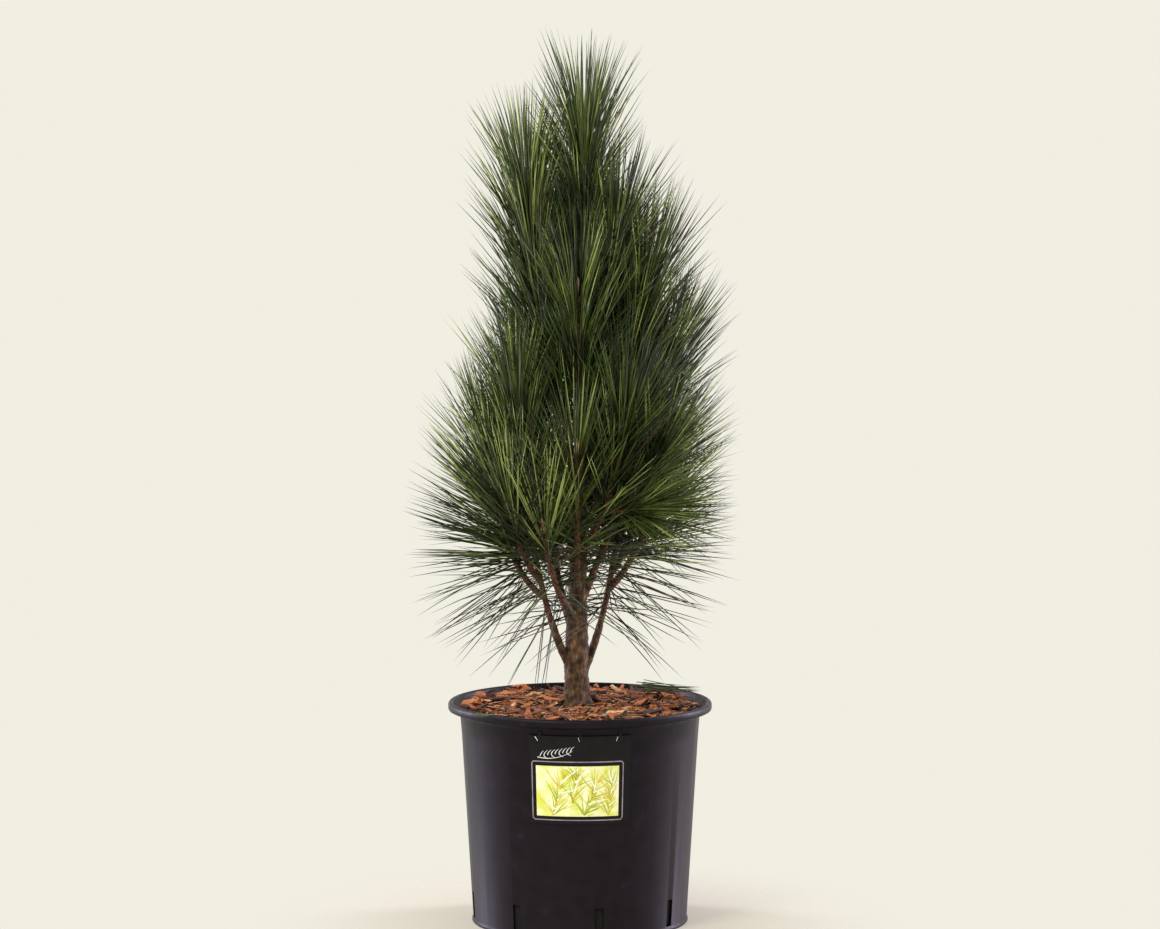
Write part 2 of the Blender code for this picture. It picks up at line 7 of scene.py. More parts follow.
import bmesh
import bpy
import numpy as np
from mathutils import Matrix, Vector

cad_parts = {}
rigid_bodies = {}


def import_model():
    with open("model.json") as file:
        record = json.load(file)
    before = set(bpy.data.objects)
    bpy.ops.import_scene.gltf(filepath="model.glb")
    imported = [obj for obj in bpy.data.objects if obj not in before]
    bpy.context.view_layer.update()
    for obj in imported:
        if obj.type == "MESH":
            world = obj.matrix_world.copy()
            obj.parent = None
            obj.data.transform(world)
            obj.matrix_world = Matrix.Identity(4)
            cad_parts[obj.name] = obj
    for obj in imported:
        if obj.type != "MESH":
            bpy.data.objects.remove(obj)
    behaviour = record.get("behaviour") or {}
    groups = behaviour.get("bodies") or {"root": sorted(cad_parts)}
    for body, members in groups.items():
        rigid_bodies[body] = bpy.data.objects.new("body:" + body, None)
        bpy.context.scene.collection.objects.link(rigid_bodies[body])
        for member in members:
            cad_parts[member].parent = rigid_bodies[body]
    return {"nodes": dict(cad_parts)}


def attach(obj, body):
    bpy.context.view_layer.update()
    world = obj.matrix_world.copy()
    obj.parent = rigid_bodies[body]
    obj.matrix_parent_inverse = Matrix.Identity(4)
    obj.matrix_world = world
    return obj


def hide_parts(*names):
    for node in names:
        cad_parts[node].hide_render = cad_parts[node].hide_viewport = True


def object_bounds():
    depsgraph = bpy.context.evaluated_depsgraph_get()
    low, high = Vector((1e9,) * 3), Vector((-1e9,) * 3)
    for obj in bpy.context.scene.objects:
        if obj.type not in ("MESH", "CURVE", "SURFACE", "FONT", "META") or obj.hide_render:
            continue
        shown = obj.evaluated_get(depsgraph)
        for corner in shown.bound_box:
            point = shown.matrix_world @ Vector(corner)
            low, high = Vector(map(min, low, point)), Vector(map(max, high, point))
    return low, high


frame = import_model()
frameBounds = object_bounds()
nodes = frame["nodes"]
footX, footY = -0.004, 0.0  # where the trunk leaves the mulch


def linear(hexColour):
    # sRGB hex to the linear values that the shaders want
    parts = [int(hexColour[i:i + 2], 16) / 255 for i in (1, 3, 5)]
    return tuple(c / 12.92 if c <= 0.04045 else ((c + 0.055) / 1.055) ** 2.4 for c in parts) + (1.0,)


def plug(tree, node, inputs):
    # plain values are set on the sockets, and outputs of other nodes are linked to them
    for key, value in inputs.items():
        if isinstance(value, bpy.types.NodeSocket):
            tree.links.new(value, node.inputs[key])
        else:
            node.inputs[key].default_value = value


def addNode(tree, kind, settings=None, inputs=None, stops=()):
    # one node with its settings and inputs; stops are (place, hex colour) along a colour ramp
    node = tree.nodes.new(kind)
    for key, value in (settings or {}).items():
        setattr(node, key, value)
    plug(tree, node, inputs or {})
    for i, (spot, colour) in enumerate(stops):
        marks = node.color_ramp.elements
        mark = marks[i] if i < len(marks) else marks.new(spot)
        mark.position = spot
        mark.color = linear(colour)
    return node


def startMaterial(name):
    material = bpy.data.materials.new(name)
    material.use_nodes = True
    tree = material.node_tree
    shader = tree.nodes["Principled BSDF"]
    place = addNode(tree, "ShaderNodeTexCoord").outputs["Object"]
    return material, tree, shader, place


def addMesh(name, verts, faces, material, smooth=True):
    mesh = bpy.data.meshes.new(name)
    mesh.from_pydata([tuple(v) for v in verts], [], faces)
    mesh.materials.append(material)
    obj = bpy.data.objects.new(name, mesh)
    bpy.context.scene.collection.objects.link(obj)
    if smooth:
        mesh.shade_smooth()
    return obj


def present(piece, slotName, *replaced):
    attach(piece, "root")
    if replaced:
        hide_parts(*replaced)


def unit(v):
    return v / max(1e-12, float(np.linalg.norm(v)))


def joined(shapes):
    # several (points, faces) shapes as one
    verts, faces = [], []
    for shapeVerts, shapeFaces in shapes:
        start = len(verts)
        verts += shapeVerts
        faces += [tuple(i + start for i in face) for face in shapeFaces]
    return verts, faces


def polyethylene():
    # Injection-moulded black HDPE: satin, with soft wide highlights, faint flow lines and a little dust.
    material, tree, shader, place = startMaterial("mouldedPolyethylene")
    # dust in patches of 17 mm
    dust = addNode(tree, "ShaderNodeTexNoise", None, {"Vector": place, "Scale": 60.0, "Detail": 5.0})
    tone = addNode(
        tree, "ShaderNodeValToRGB", None, {"Fac": dust.outputs["Fac"]},
        [(0.30, "#0d060e"), (0.62, "#150c16"), (0.80, "#221825")],
    )
    # flow lines 11 mm apart and 200 mm long: real ones are finer and wouldn't show
    stretch = addNode(tree, "ShaderNodeMapping", None, {"Vector": place, "Scale": (90.0, 90.0, 5.0)})
    flow = addNode(
        tree, "ShaderNodeTexNoise", None,
        {"Vector": stretch.outputs[0], "Scale": 1.0, "Detail": 3.0},
    )
    gloss = addNode(
        tree, "ShaderNodeMapRange", None,
        {"Value": flow.outputs["Fac"], "From Min": 0.3, "From Max": 0.7, "To Min": 0.36, "To Max": 0.50},
    )
    bump = addNode(
        tree, "ShaderNodeBump", None,
        {"Height": flow.outputs["Fac"], "Strength": 0.12, "Distance": 0.0006},
    )
    plug(tree, shader, {
        "Base Color": tone.outputs["Color"], "Roughness": gloss.outputs[0], "Normal": bump.outputs["Normal"],
        "IOR": 1.5, "Specular IOR Level": 0.16,
    })
    return material


def barkMulch(name, dark, light):
    # Shredded pine bark: matt, fibrous, each chip close to one colour.
    material, tree, shader, place = startMaterial(name)
    # grain of 4 mm, drawn coarser than the real fibre so that it shows
    grain = addNode(tree, "ShaderNodeTexNoise", None, {"Vector": place, "Scale": 260.0, "Detail": 6.0})
    tone = addNode(
        tree, "ShaderNodeValToRGB", None, {"Fac": grain.outputs["Fac"]}, [(0.36, dark), (0.66, light)],
    )
    bump = addNode(
        tree, "ShaderNodeBump", None,
        {"Height": grain.outputs["Fac"], "Strength": 0.6, "Distance": 0.0012},
    )
    plug(tree, shader, {
        "Base Color": tone.outputs["Color"], "Roughness": 0.92, "Normal": bump.outputs["Normal"],
    })
    return material


def rootBall():
    # Peaty compost under the bark: brown at the top, and almost black below, a painted shade where the slots
    # show the dark inside of the pot.
    material, tree, shader, place = startMaterial("dampCompost")
    # crumbs of 4 mm
    crumb = addNode(tree, "ShaderNodeTexNoise", None, {"Vector": place, "Scale": 240.0, "Detail": 6.0})
    height = addNode(tree, "ShaderNodeSeparateXYZ", None, {0: place}).outputs["Z"]
    # it turns from the painted shade below to brown over the 8 mm that end 4 mm below the mulch's level
    level = addNode(
        tree, "ShaderNodeMapRange", None,
        {"Value": height, "From Min": mulch["level"] - 0.012, "From Max": mulch["level"] - 0.004},
    )
    brownCrumbs = addNode(
        tree, "ShaderNodeValToRGB", None, {"Fac": crumb.outputs["Fac"]},
        [(0.36, "#241409"), (0.66, "#5a3620")],
    )
    # the flat near-black below is painted shade for the dark inside of the pot, seen through the slots
    tone = addNode(
        tree, "ShaderNodeMix", {"data_type": "RGBA"},
        {0: level.outputs[0], 6: linear("#0b0807"), 7: brownCrumbs.outputs["Color"]},
    )
    bump = addNode(
        tree, "ShaderNodeBump", None,
        {"Height": crumb.outputs["Fac"], "Strength": 0.6, "Distance": 0.0012},
    )
    plug(tree, shader, {"Base Color": tone.outputs[2], "Roughness": 0.95, "Normal": bump.outputs["Normal"]})
    return material


def pineBark():
    # Young pine bark: matt scaly plates of grey brown with rusty gaps, longer than they are wide.
    material, tree, shader, place = startMaterial("pineBark")
    # the edges of the plates wander over 22 mm
    warp = addNode(tree, "ShaderNodeTexNoise", None, {"Vector": place, "Scale": 45.0, "Detail": 4.0})
    # plates 3.3 mm wide and 12.5 mm long
    plates = addNode(tree, "ShaderNodeMapping", None, {"Vector": place, "Scale": (300.0, 300.0, 80.0)})
    shifted = addNode(
        tree, "ShaderNodeVectorMath", {"operation": "ADD"},
        {0: plates.outputs[0], 1: warp.outputs["Color"]},
    )
    cells = addNode(
        tree, "ShaderNodeTexVoronoi", {"feature": "DISTANCE_TO_EDGE"},
        {"Vector": shifted.outputs[0], "Scale": 1.0},
    )
    # flecks of 8 mm and finer
    flecks = addNode(tree, "ShaderNodeTexNoise", None, {"Vector": place, "Scale": 130.0, "Detail": 8.0})
    plate = addNode(
        tree, "ShaderNodeValToRGB", None, {"Fac": flecks.outputs["Fac"]},
        [(0.34, "#33241a"), (0.47, "#55412d"), (0.58, "#715a40"), (0.70, "#957858")],
    )
    gap = addNode(
        tree, "ShaderNodeValToRGB", None, {"Fac": cells.outputs["Distance"]},
        [(0.0, "#80604a"), (0.10, "#b8957a"), (0.30, "#ffffff")],
    )
    tone = addNode(
        tree, "ShaderNodeMix", {"data_type": "RGBA", "blend_type": "MULTIPLY"},
        {0: 0.5, 6: plate.outputs["Color"], 7: gap.outputs["Color"]},
    )
    bump = addNode(
        tree, "ShaderNodeBump", None,
        {"Height": cells.outputs["Distance"], "Strength": 0.7, "Distance": 0.002},
    )
    plug(tree, shader, {"Base Color": tone.outputs[2], "Roughness": 0.9, "Normal": bump.outputs["Normal"]})
    return material


def shootBark():
    # Second-year pine shoot: thin rusty brown bark, dull, with leaf scars close together.
    material, tree, shader, place = startMaterial("shootBark")
    # scars 2.4 mm apart
    scars = addNode(tree, "ShaderNodeTexVoronoi", None, {"Vector": place, "Scale": 420.0})
    tone = addNode(
        tree, "ShaderNodeValToRGB", None, {"Fac": scars.outputs["Distance"]},
        [(0.15, "#84512f"), (0.45, "#5c3620"), (0.80, "#331d14")],
    )
    bump = addNode(
        tree, "ShaderNodeBump", None,
        {"Height": scars.outputs["Distance"], "Strength": 0.5, "Distance": 0.001},
    )
    plug(tree, shader, {
        "Base Color": tone.outputs["Color"], "Roughness": 0.75, "Normal": bump.outputs["Normal"],
    })
    return material


def needleSkin(name, dark, light, roughness):
    # Pine needle: a waxy skin, a little shiny along its length, its green changing over 29 mm.
    material, tree, shader, place = startMaterial(name)
    shift = addNode(tree, "ShaderNodeTexNoise", None, {"Vector": place, "Scale": 34.0, "Detail": 3.0})
    tone = addNode(
        tree, "ShaderNodeValToRGB", None, {"Fac": shift.outputs["Fac"]}, [(0.34, dark), (0.66, light)],
    )
    plug(tree, shader, {"Base Color": tone.outputs["Color"], "Roughness": roughness, "IOR": 1.45})
    return material


def printedCard(name, dark, light, roughness):
    # Offset print on a thin plastic card: flat colour under a satin varnish, mottled over 11 mm.
    material, tree, shader, place = startMaterial(name)
    mottle = addNode(tree, "ShaderNodeTexNoise", None, {"Vector": place, "Scale": 90.0, "Detail": 4.0})
    tone = addNode(
        tree, "ShaderNodeValToRGB", None, {"Fac": mottle.outputs["Fac"]}, [(0.35, dark), (0.65, light)],
    )
    plug(tree, shader, {
        "Base Color": tone.outputs["Color"], "Roughness": roughness, "IOR": 1.5, "Specular IOR Level": 0.2,
    })
    return material


pot = {
    "height": 0.235, "wall": 0.002, "floor": 0.0025, "floorCorner": 0.003, "floorEase": 0.002,
    "baseRadius": 0.1135, "baseLip": 0.0015, "baseLipHeight": 0.003,
    "wallTopRadius": 0.1268, "wallTop": 0.222, "wallRings": (0.20, 0.005),
    "rimRadius": 0.140, "beadWidth": 0.0065, "beadHeight": 0.0085, "beadSteps": 9,
    # small roundings: (outwards, upwards) from the corner that each softens
    "neckInside": [(0.0005, 0.003)], "neckOutside": [(0.0022, 0.0015), (0.0004, -0.0012)],
    "beadUnder": [(0.0, 0.0018), (-0.0005, 0.0005), (-0.0018, 0.0), (-0.0065, 0.0004)],
    "footTop": [(-0.0003, 0.0), (0.0, -0.0008)], "footBottom": [(0.0, 0.0006), (-0.0006, 0.0)],
    "steps": 144, "weld": 1e-5, "sharpAngle": 40,
    "slots": 8, "slotFirst": -80.0, "slotDepth": 0.016, "slotWidth": 0.0095,
    "slotBottom": 0.005, "slotTop": 0.0335,
}


def wallRadius(z):
    return pot["baseRadius"] + (pot["wallTopRadius"] - pot["baseRadius"]) * z / pot["wallTop"]


def potProfile():
    # from the inside of the floor, up over the rolled rim and down to the underside
    def soften(x, z, name):
        return [(x + dx, z + dz) for dx, dz in pot[name]]

    corner = pot["floorCorner"]
    beadRadius = pot["beadWidth"] / 2
    beadX = pot["rimRadius"] - beadRadius
    beadZ = pot["height"] - beadRadius
    profile = [
        (0.0, pot["floor"]),
        (wallRadius(corner) - pot["wall"] - pot["floorEase"], pot["floor"]),
        (wallRadius(2 * corner) - pot["wall"], pot["floor"] + corner),
        (pot["wallTopRadius"] - pot["wall"], pot["wallTop"]),
    ]
    profile += soften(pot["wallTopRadius"], pot["wallTop"], "neckInside")
    profile.append((beadX - beadRadius, beadZ))
    for i in range(1, pot["beadSteps"]):
        angle = math.pi - math.pi * i / pot["beadSteps"]
        profile.append((beadX + beadRadius * math.cos(angle), beadZ + beadRadius * math.sin(angle)))
    profile.append((pot["rimRadius"], beadZ))
    profile += soften(pot["rimRadius"], pot["height"] - pot["beadHeight"], "beadUnder")
    profile += soften(pot["wallTopRadius"], pot["wallTop"], "neckOutside")
    profile += [(wallRadius(z), z) for z in pot["wallRings"]]
    lip = pot["baseRadius"] + pot["baseLip"]
    profile += soften(lip, pot["baseLipHeight"], "footTop") + soften(lip, 0.0, "footBottom")
    return profile + [(0.0, 0.0)]


def slotCutters():
    slots = bpy.data.collections.new("slots")
    bpy.context.scene.collection.children.link(slots)
    for i in range(pot["slots"]):
        angle = math.radians(pot["slotFirst"] + i * 360 / pot["slots"] - 90)
        size = (pot["slotDepth"], pot["slotWidth"], pot["slotTop"] - pot["slotBottom"])
        shape = bmesh.new()
        bmesh.ops.create_cube(shape, size=1.0)
        bmesh.ops.scale(shape, verts=shape.verts, vec=size)
        slotMesh = bpy.data.meshes.new("slot")
        shape.to_mesh(slotMesh)
        shape.free()
        cutter = bpy.data.objects.new(f"slot{i}", slotMesh)
        slots.objects.link(cutter)
        middle = (pot["slotTop"] + pot["slotBottom"]) / 2
        cutter.location = (pot["baseRadius"] * math.cos(angle), pot["baseRadius"] * math.sin(angle), middle)
        cutter.rotation_euler = (0, 0, angle)
    return slots


def buildPot(material):
    profile = potProfile()
    mesh = bpy.data.meshes.new("potProfile")
    mesh.from_pydata([(r, 0.0, z) for r, z in profile], [(i, i + 1) for i in range(len(profile) - 1)], [])
    turned = bpy.data.objects.new("potProfile", mesh)
    bpy.context.scene.collection.objects.link(turned)
    screw = turned.modifiers.new("turn", "SCREW")
    screw.steps = screw.render_steps = pot["steps"]
    screw.use_merge_vertices = True
    screw.merge_threshold = pot["weld"]
    slots = slotCutters()
    cut = turned.modifiers.new("cut", "BOOLEAN")
    cut.operand_type = "COLLECTION"
    cut.collection = slots
    cut.solver = "EXACT"
    bpy.context.view_layer.update()
    shell = bpy.data.meshes.new_from_object(turned.evaluated_get(bpy.context.evaluated_depsgraph_get()))
    for obj in list(slots.objects) + [turned]:
        bpy.data.objects.remove(obj, do_unlink=True)
    bpy.data.collections.remove(slots)
    shell.materials.clear()
    shell.materials.append(material)
    shell.shade_smooth()
    shell.set_sharp_from_angle(angle=math.radians(pot["sharpAngle"]))
    piece = bpy.data.objects.new("potShell", shell)
    bpy.context.scene.collection.objects.link(piece)
    present(piece, "pot_plastic", "pot")
    print("pot built")


mulch = {
    "level": 0.2275, "bump": 0.0022, "edge": 0.1285, "trunkClear": 0.021,
    "flatRadius": 0.028, "flatBand": 0.02,  # the mounds fade out towards the trunk
    "mounds": (95, 1.3, 80, 0.6), "ripple": (170, 120, 0.8), "rippleShare": 0.6,  # radians in a metre
    "seed": 21, "chips": 620, "chipLength": (0.007, 0.026), "chipWidth": (0.14, 0.5),
    "longShare": 0.14, "longBy": 1.3,
    "chipLift": (0.0003, 0.0085), "chipSink": (0.4, 1.0), "chipThick": (0.0008, 0.0024), "chipMargin": 0.55,
    "chipTail": (0.3, 0.8), "chipHead": (0.2, 0.8), "chipWaist": 0.06,
    "chipTilt": 0.26, "chipRoll": 0.22, "chipBend": 0.12, "chipJag": 0.09, "chipUneven": (0.7, 1.2),
    "crumbs": 900, "crumbLength": (0.002, 0.006), "crumbLift": (0.0, 0.003),
    "crumbWidth": 0.6, "crumbThick": 0.4,
    "frontChip": (0.039, -0.072, 0.0055, 0.022, 0.009, 0.002),  # x, y, lift, length, width, thickness
}
mulchTints = [  # name, dark and light colour, and the share of chips
    ("chipsDark", "#1f110b", "#40241a", 8),
    ("chipsBrown", "#5a321d", "#8a5231", 8),
    ("chipsRust", "#8c4d28", "#c27a44", 8),
    ("chipsPale", "#b07c4e", "#e0b98c", 2),
]


def mulchHeight(x, y):
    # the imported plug's own low mounds
    acrossPace, acrossStart, backPace, backStart = mulch["mounds"]
    rippleX, rippleY, rippleStart = mulch["ripple"]
    wave = math.sin(acrossPace * x + acrossStart) * math.cos(backPace * y - backStart)
    wave += mulch["rippleShare"] * math.sin(rippleX * x - rippleY * y + rippleStart)
    foot = math.hypot(x - footX, y - footY)
    share = min(1.0, max(0.0, (foot - mulch["flatRadius"]) / mulch["flatBand"]))
    return mulch["level"] + mulch["bump"] * share * wave / (1 + mulch["rippleShare"])


def mulchSpot(rng, margin):
    while True:
        radius = (mulch["edge"] - margin) * math.sqrt(rng.random())
        angle = rng.uniform(0, 2 * math.pi)
        x, y = radius * math.cos(angle), radius * math.sin(angle)
        if math.hypot(x - footX, y - footY) > mulch["trunkClear"]:
            return x, y


def chipShape(rng, x, y, lift, length, width, thick):
    # a split flake: a flat bar of three rings, bent in the middle, with ragged ends
    heading = rng.uniform(0, 2 * math.pi)
    tilt = rng.gauss(0, mulch["chipTilt"])
    along = np.array([math.cos(heading) * math.cos(tilt), math.sin(heading) * math.cos(tilt), math.sin(tilt)])
    across = unit(np.cross([0, 0, 1], along)) + np.array([0, 0, rng.gauss(0, mulch["chipRoll"])])
    up = unit(np.cross(along, across))
    centre = np.array([x, y, mulchHeight(x, y) + lift])
    tail, head = (rng.uniform(*mulch[key]) for key in ("chipTail", "chipHead"))
    rings = ((-0.5, tail), (mulch["chipWaist"], 1.0), (0.5, head))  # place along the chip, and width
    verts = []
    for end, taper in rings:
        bend = up * length * mulch["chipBend"] * rng.uniform(-1, 1)
        for side, top in ((-0.5, -0.5), (0.5, -0.5), (0.5, 0.5), (-0.5, 0.5)):
            jag = length * rng.uniform(-mulch["chipJag"], mulch["chipJag"])
            verts.append(
                centre + along * (end * length + jag) + bend
                + across * side * width * taper + up * top * thick * rng.uniform(*mulch["chipUneven"])
            )
    faces = [(3, 2, 1, 0), (8, 9, 10, 11)]
    for ring in (0, 4):
        for i in range(4):
            j = (i + 1) % 4
            faces.append((ring + i, ring + j, ring + 4 + j, ring + 4 + i))
    return verts, faces


def buildMulch():
    rng = random.Random(mulch["seed"])
    heaps = {row[0]: [] for row in mulchTints}
    names = [name for name, _, _, share in mulchTints for _ in range(share)]
    for _ in range(mulch["chips"]):
        length = rng.uniform(*mulch["chipLength"])
        length *= mulch["longBy"] if rng.random() < mulch["longShare"] else 1.0
        width = length * rng.uniform(*mulch["chipWidth"])
        x, y = mulchSpot(rng, length * mulch["chipMargin"])
        lift = rng.uniform(*mulch["chipLift"]) * rng.uniform(*mulch["chipSink"])
        heap = heaps[rng.choice(names)]
        heap.append(chipShape(rng, x, y, lift, length, width, rng.uniform(*mulch["chipThick"])))
    for _ in range(mulch["crumbs"]):
        length = rng.uniform(*mulch["crumbLength"])
        x, y = mulchSpot(rng, length)
        lift = rng.uniform(*mulch["crumbLift"])
        size = (length, length * mulch["crumbWidth"], length * mulch["crumbThick"])
        shape = chipShape(rng, x, y, lift, *size)
        heaps[rng.choice(names)].append(shape)
    heaps["chipsPale"].append(chipShape(rng, *mulch["frontChip"]))
    for name, dark, light, _ in mulchTints:
        piece = addMesh(name, *joined(heaps[name]), barkMulch(name + "Bark", dark, light), smooth=False)
        present(piece, "bark_mulch")
    bedMaterials = nodes["growing_medium"].data.materials
    bedMaterials.clear()
    bedMaterials.append(rootBall())
    print("mulch laid")


label = {  # millimetres: across from the card's middle, up from the floor, out from its face
    "width": 109.0, "top": 216.5, "bottom": 124.0, "thick": 1.0, "clear": 0.6, "cardSteps": 28,
    "tongues": (-42.0, 0.0, 42.0), "tongueHalf": 1.5, "tongueTuck": 4, "tongueTop": 221.0,
    "tongueSkin": (-0.6, -0.05),
    "frame": (-51.5, 46.0, 128.0, 189.5), "frameLine": 1.1, "frameStep": 5,  # left, right, bottom, top
    "frameCorner": 3.0, "cornerSteps": 4,
    "picture": (-47.0, 41.5, 132.0, 185.0), "pictureSteps": 24, "pictureSkin": (0.02, 0.14),
    "inkSkin": (0.02, 0.16), "sprigSkin": (0.02, 0.15),
    "strokes": 150, "strokeSeed": 5, "strokeLength": (12, 26), "strokeSplay": (8, 62), "strokeBow": 0.06,
    "strokeWidth": 1.5, "strokeTaper": 0.7, "strokeMargin": 0.6, "strokeLow": 0.12, "strokeLayer": 0.03,
    "strokePoints": 6, "strokeFrom": (0.05, 1.0),
    "sprays": [  # foot and head of each
        ((-30, 130), (-16, 178)), ((2, 128), (20, 172)), ((30, 130), (34, 168)), ((-8, 140), (-2, 186)),
    ],
}
labelInks = [  # piece, dark and light colour, and the share of strokes
    ("strokesLime", "#b9cc2a", "#d8e450", 5), ("strokesOlive", "#98a52c", "#b4bf3f", 5),
    ("strokesGold", "#d9b945", "#efe07c", 3), ("strokesWhite", "#fbfbf0", "#ffffff", 1),
]
sprig = {
    "stem": ((-45, 194), (-8, 201)), "stemBow": -0.10, "stemPoints": 12, "stemWidth": 0.9, "stemTaper": 0.05,
    "leaves": 9, "first": (-42, 195.2), "step": (4, 0.62),
    "upper": ((4.2, 5.6), 0.12, (0.8, 0.9, 0.7, 0.5, 0.2)),  # reach, bow and widths
    "lower": ((5.0, -3.2), -0.1, (0.7, 0.8, 0.6, 0.4, 0.2)),
    "cutGlints": ((-47.5, 3.2, 0.9), (-2.0, 1.4, 0.5), (39.5, -1.6, 0.6)), "cutGlintTop": 215.5, "cutGlintBottom": 211.0,
    "cutGlintTaper": 0.6,
}


def onLabel(across, height, lift):
    z = height / 1000
    radius = wallRadius(z) + (label["clear"] + label["thick"] + lift) / 1000
    angle = across / 1000 / pot["wallTopRadius"]
    return (radius * math.sin(angle), -radius * math.cos(angle), z)


def bar(sections):
    # a closed bar through sections of four points each
    verts, faces = [], []
    for i, section in enumerate(sections):
        verts += section
        if i:
            a, b = 4 * (i - 1), 4 * i
            faces += [(a + k, a + (k + 1) % 4, b + (k + 1) % 4, b + k) for k in range(4)]
    last = 4 * (len(sections) - 1)
    faces += [(3, 2, 1, 0), (last, last + 1, last + 2, last + 3)]
    return verts, faces


def patch(left, right, bottom, top, skin, steps):
    # a block that follows the pot's wall, between two heights above the card's face
    low, high = skin
    corners = ((bottom, low), (bottom, high), (top, high), (top, low))
    spots = [left + (right - left) * i / steps for i in range(steps + 1)]
    return bar([[onLabel(across, height, lift) for height, lift in corners] for across in spots])


def stroke(points, widths, skin):
    # a thin printed stroke through points on the card
    low, high = skin
    sections = []
    for i, ((across, height), width) in enumerate(zip(points, widths)):
        before, after = points[max(0, i - 1)], points[min(len(points) - 1, i + 1)]
        along = unit(np.array([after[0] - before[0], after[1] - before[1]]))
        side = np.array([-along[1], along[0]]) * width / 2
        sections.append([
            onLabel(across + sign * side[0], height + sign * side[1], lift)
            for sign, lift in ((-1, low), (-1, high), (1, high), (1, low))
        ])
    return bar(sections)


def arc(start, end, bow, count):
    # points from start to end, bowed sideways
    a, b = np.array(start, float), np.array(end, float)
    normal = np.array([-(b - a)[1], (b - a)[0]])
    spots = [i / (count - 1) for i in range(count)]
    return [tuple(a + (b - a) * t + normal * bow * 4 * t * (1 - t)) for t in spots]


def buildCard():
    half, top = label["width"] / 2, label["top"]
    shapes = [patch(-half, half, label["bottom"], top, (-label["thick"], 0.0), label["cardSteps"])]
    reach = label["tongueHalf"]
    for middle in label["tongues"]:
        box = (middle - reach, middle + reach, top - label["tongueTuck"], label["tongueTop"])
        shapes.append(patch(*box, label["tongueSkin"], 2))
    card = addMesh("labelCard", *joined(shapes), printedCard("cardBlack", "#0a0709", "#120d10", 0.40), False)
    present(card, "label_card", "label")


def buildFrameLine():
    # a fine line with round corners about the picture, in short steps so that it follows the wall
    left, right, low, high = label["frame"]
    corner = label["frameCorner"]
    outline = []
    for middleX, middleY, first in (
        (right - corner, high - corner, 0), (left + corner, high - corner, 90),
        (left + corner, low + corner, 180), (right - corner, low + corner, 270),
    ):
        for step in range(label["cornerSteps"] + 1):
            angle = math.radians(first + step * 90 / label["cornerSteps"])
            outline.append((middleX + corner * math.cos(angle), middleY + corner * math.sin(angle)))
    points = []
    for (ax, ay), (bx, by) in zip(outline, outline[1:] + outline[:1]):
        count = max(1, int(math.dist((ax, ay), (bx, by)) / label["frameStep"]))
        points += [(ax + (bx - ax) * k / count, ay + (by - ay) * k / count) for k in range(count)]
    points.append(points[0])
    line = stroke(points, [label["frameLine"]] * len(points), label["inkSkin"])
    ink = printedCard("frameInk", "#857a86", "#a79ca6", 0.4)
    present(addMesh("labelFrame", *line, ink, False), "label_card")


def buildPicture():
    # a pale field with sprays of yellow-green strokes
    field = patch(*label["picture"], label["pictureSkin"], label["pictureSteps"])
    ground = printedCard("pictureField", "#e2ea6c", "#fdfbd8", 0.36)
    present(addMesh("labelPicture", *field, ground, False), "label_card")
    left, right, bottom, top = label["picture"]
    margin, bow = label["strokeMargin"], label["strokeBow"]
    rng = random.Random(label["strokeSeed"])
    names, shares = [row[0] for row in labelInks], [row[3] for row in labelInks]
    strokes = {name: [] for name in names}
    for i in range(label["strokes"]):
        (footAcross, footUp), (headAcross, headUp) = label["sprays"][i % len(label["sprays"])]
        runAcross, runUp = headAcross - footAcross, headUp - footUp
        share = rng.uniform(*label["strokeFrom"])
        start = (footAcross + runAcross * share, footUp + runUp * share)
        angle = math.atan2(runUp, runAcross)
        angle += rng.choice((-1, 1)) * math.radians(rng.uniform(*label["strokeSplay"]))
        length = rng.uniform(*label["strokeLength"])
        end = (start[0] + length * math.cos(angle), start[1] + length * math.sin(angle))
        points = [
            (across, up) for across, up in arc(start, end, rng.uniform(-bow, bow), label["strokePoints"])
            if left + margin < across < right - margin and bottom + margin < up < top - margin
        ]
        if len(points) > 2:
            last = len(points) - 1
            widths = [label["strokeWidth"] * (1 - label["strokeTaper"] * k / last) for k in range(last + 1)]
            name = rng.choices(names, shares)[0]
            high = label["inkSkin"][1] + label["strokeLayer"] * names.index(name)
            strokes[name].append(stroke(points, widths, (label["strokeLow"], high)))
    for name, dark, light, _ in labelInks:
        ink = printedCard(name + "Ink", dark, light, 0.36)
        piece = addMesh("label" + name[0].upper() + name[1:], *joined(strokes[name]), ink, False)
        present(piece, "label_card")


def buildSprig():
    # a white sprig above the picture, and three short white strokes at the top of the card, a painted
    # highlight where light catches the edges of the die cuts
    count = sprig["stemPoints"]
    stemWidths = [sprig["stemWidth"] - sprig["stemTaper"] * k for k in range(count)]
    shapes = [stroke(arc(*sprig["stem"], sprig["stemBow"], count), stemWidths, label["inkSkin"])]
    for k in range(sprig["leaves"]):
        x, y = sprig["first"][0] + sprig["step"][0] * k, sprig["first"][1] + sprig["step"][1] * k
        for (reach, rise), bow, widths in [sprig["upper"]] + ([sprig["lower"]] if k % 2 else []):
            points = arc((x, y), (x + reach, y + rise), bow, len(widths))
            shapes.append(stroke(points, widths, label["sprigSkin"]))
    # three short white strokes, a painted highlight where light catches the edges of the die cuts
    for x, lean, size in sprig["cutGlints"]:
        points = [(x, sprig["cutGlintTop"]), (x + lean, sprig["cutGlintBottom"])]
        shapes.append(stroke(points, [size, size * sprig["cutGlintTaper"]], label["sprigSkin"]))
    # this white serves both the printed sprig and the painted highlight on the cuts
    white = printedCard("whiteInk", "#dedade", "#f6f3f5", 0.4)
    present(addMesh("labelSprig", *joined(shapes), white, False), "label_card")


def buildLabel():
    buildCard()
    buildFrameLine()
    buildPicture()
    buildSprig()
    print("label printed")


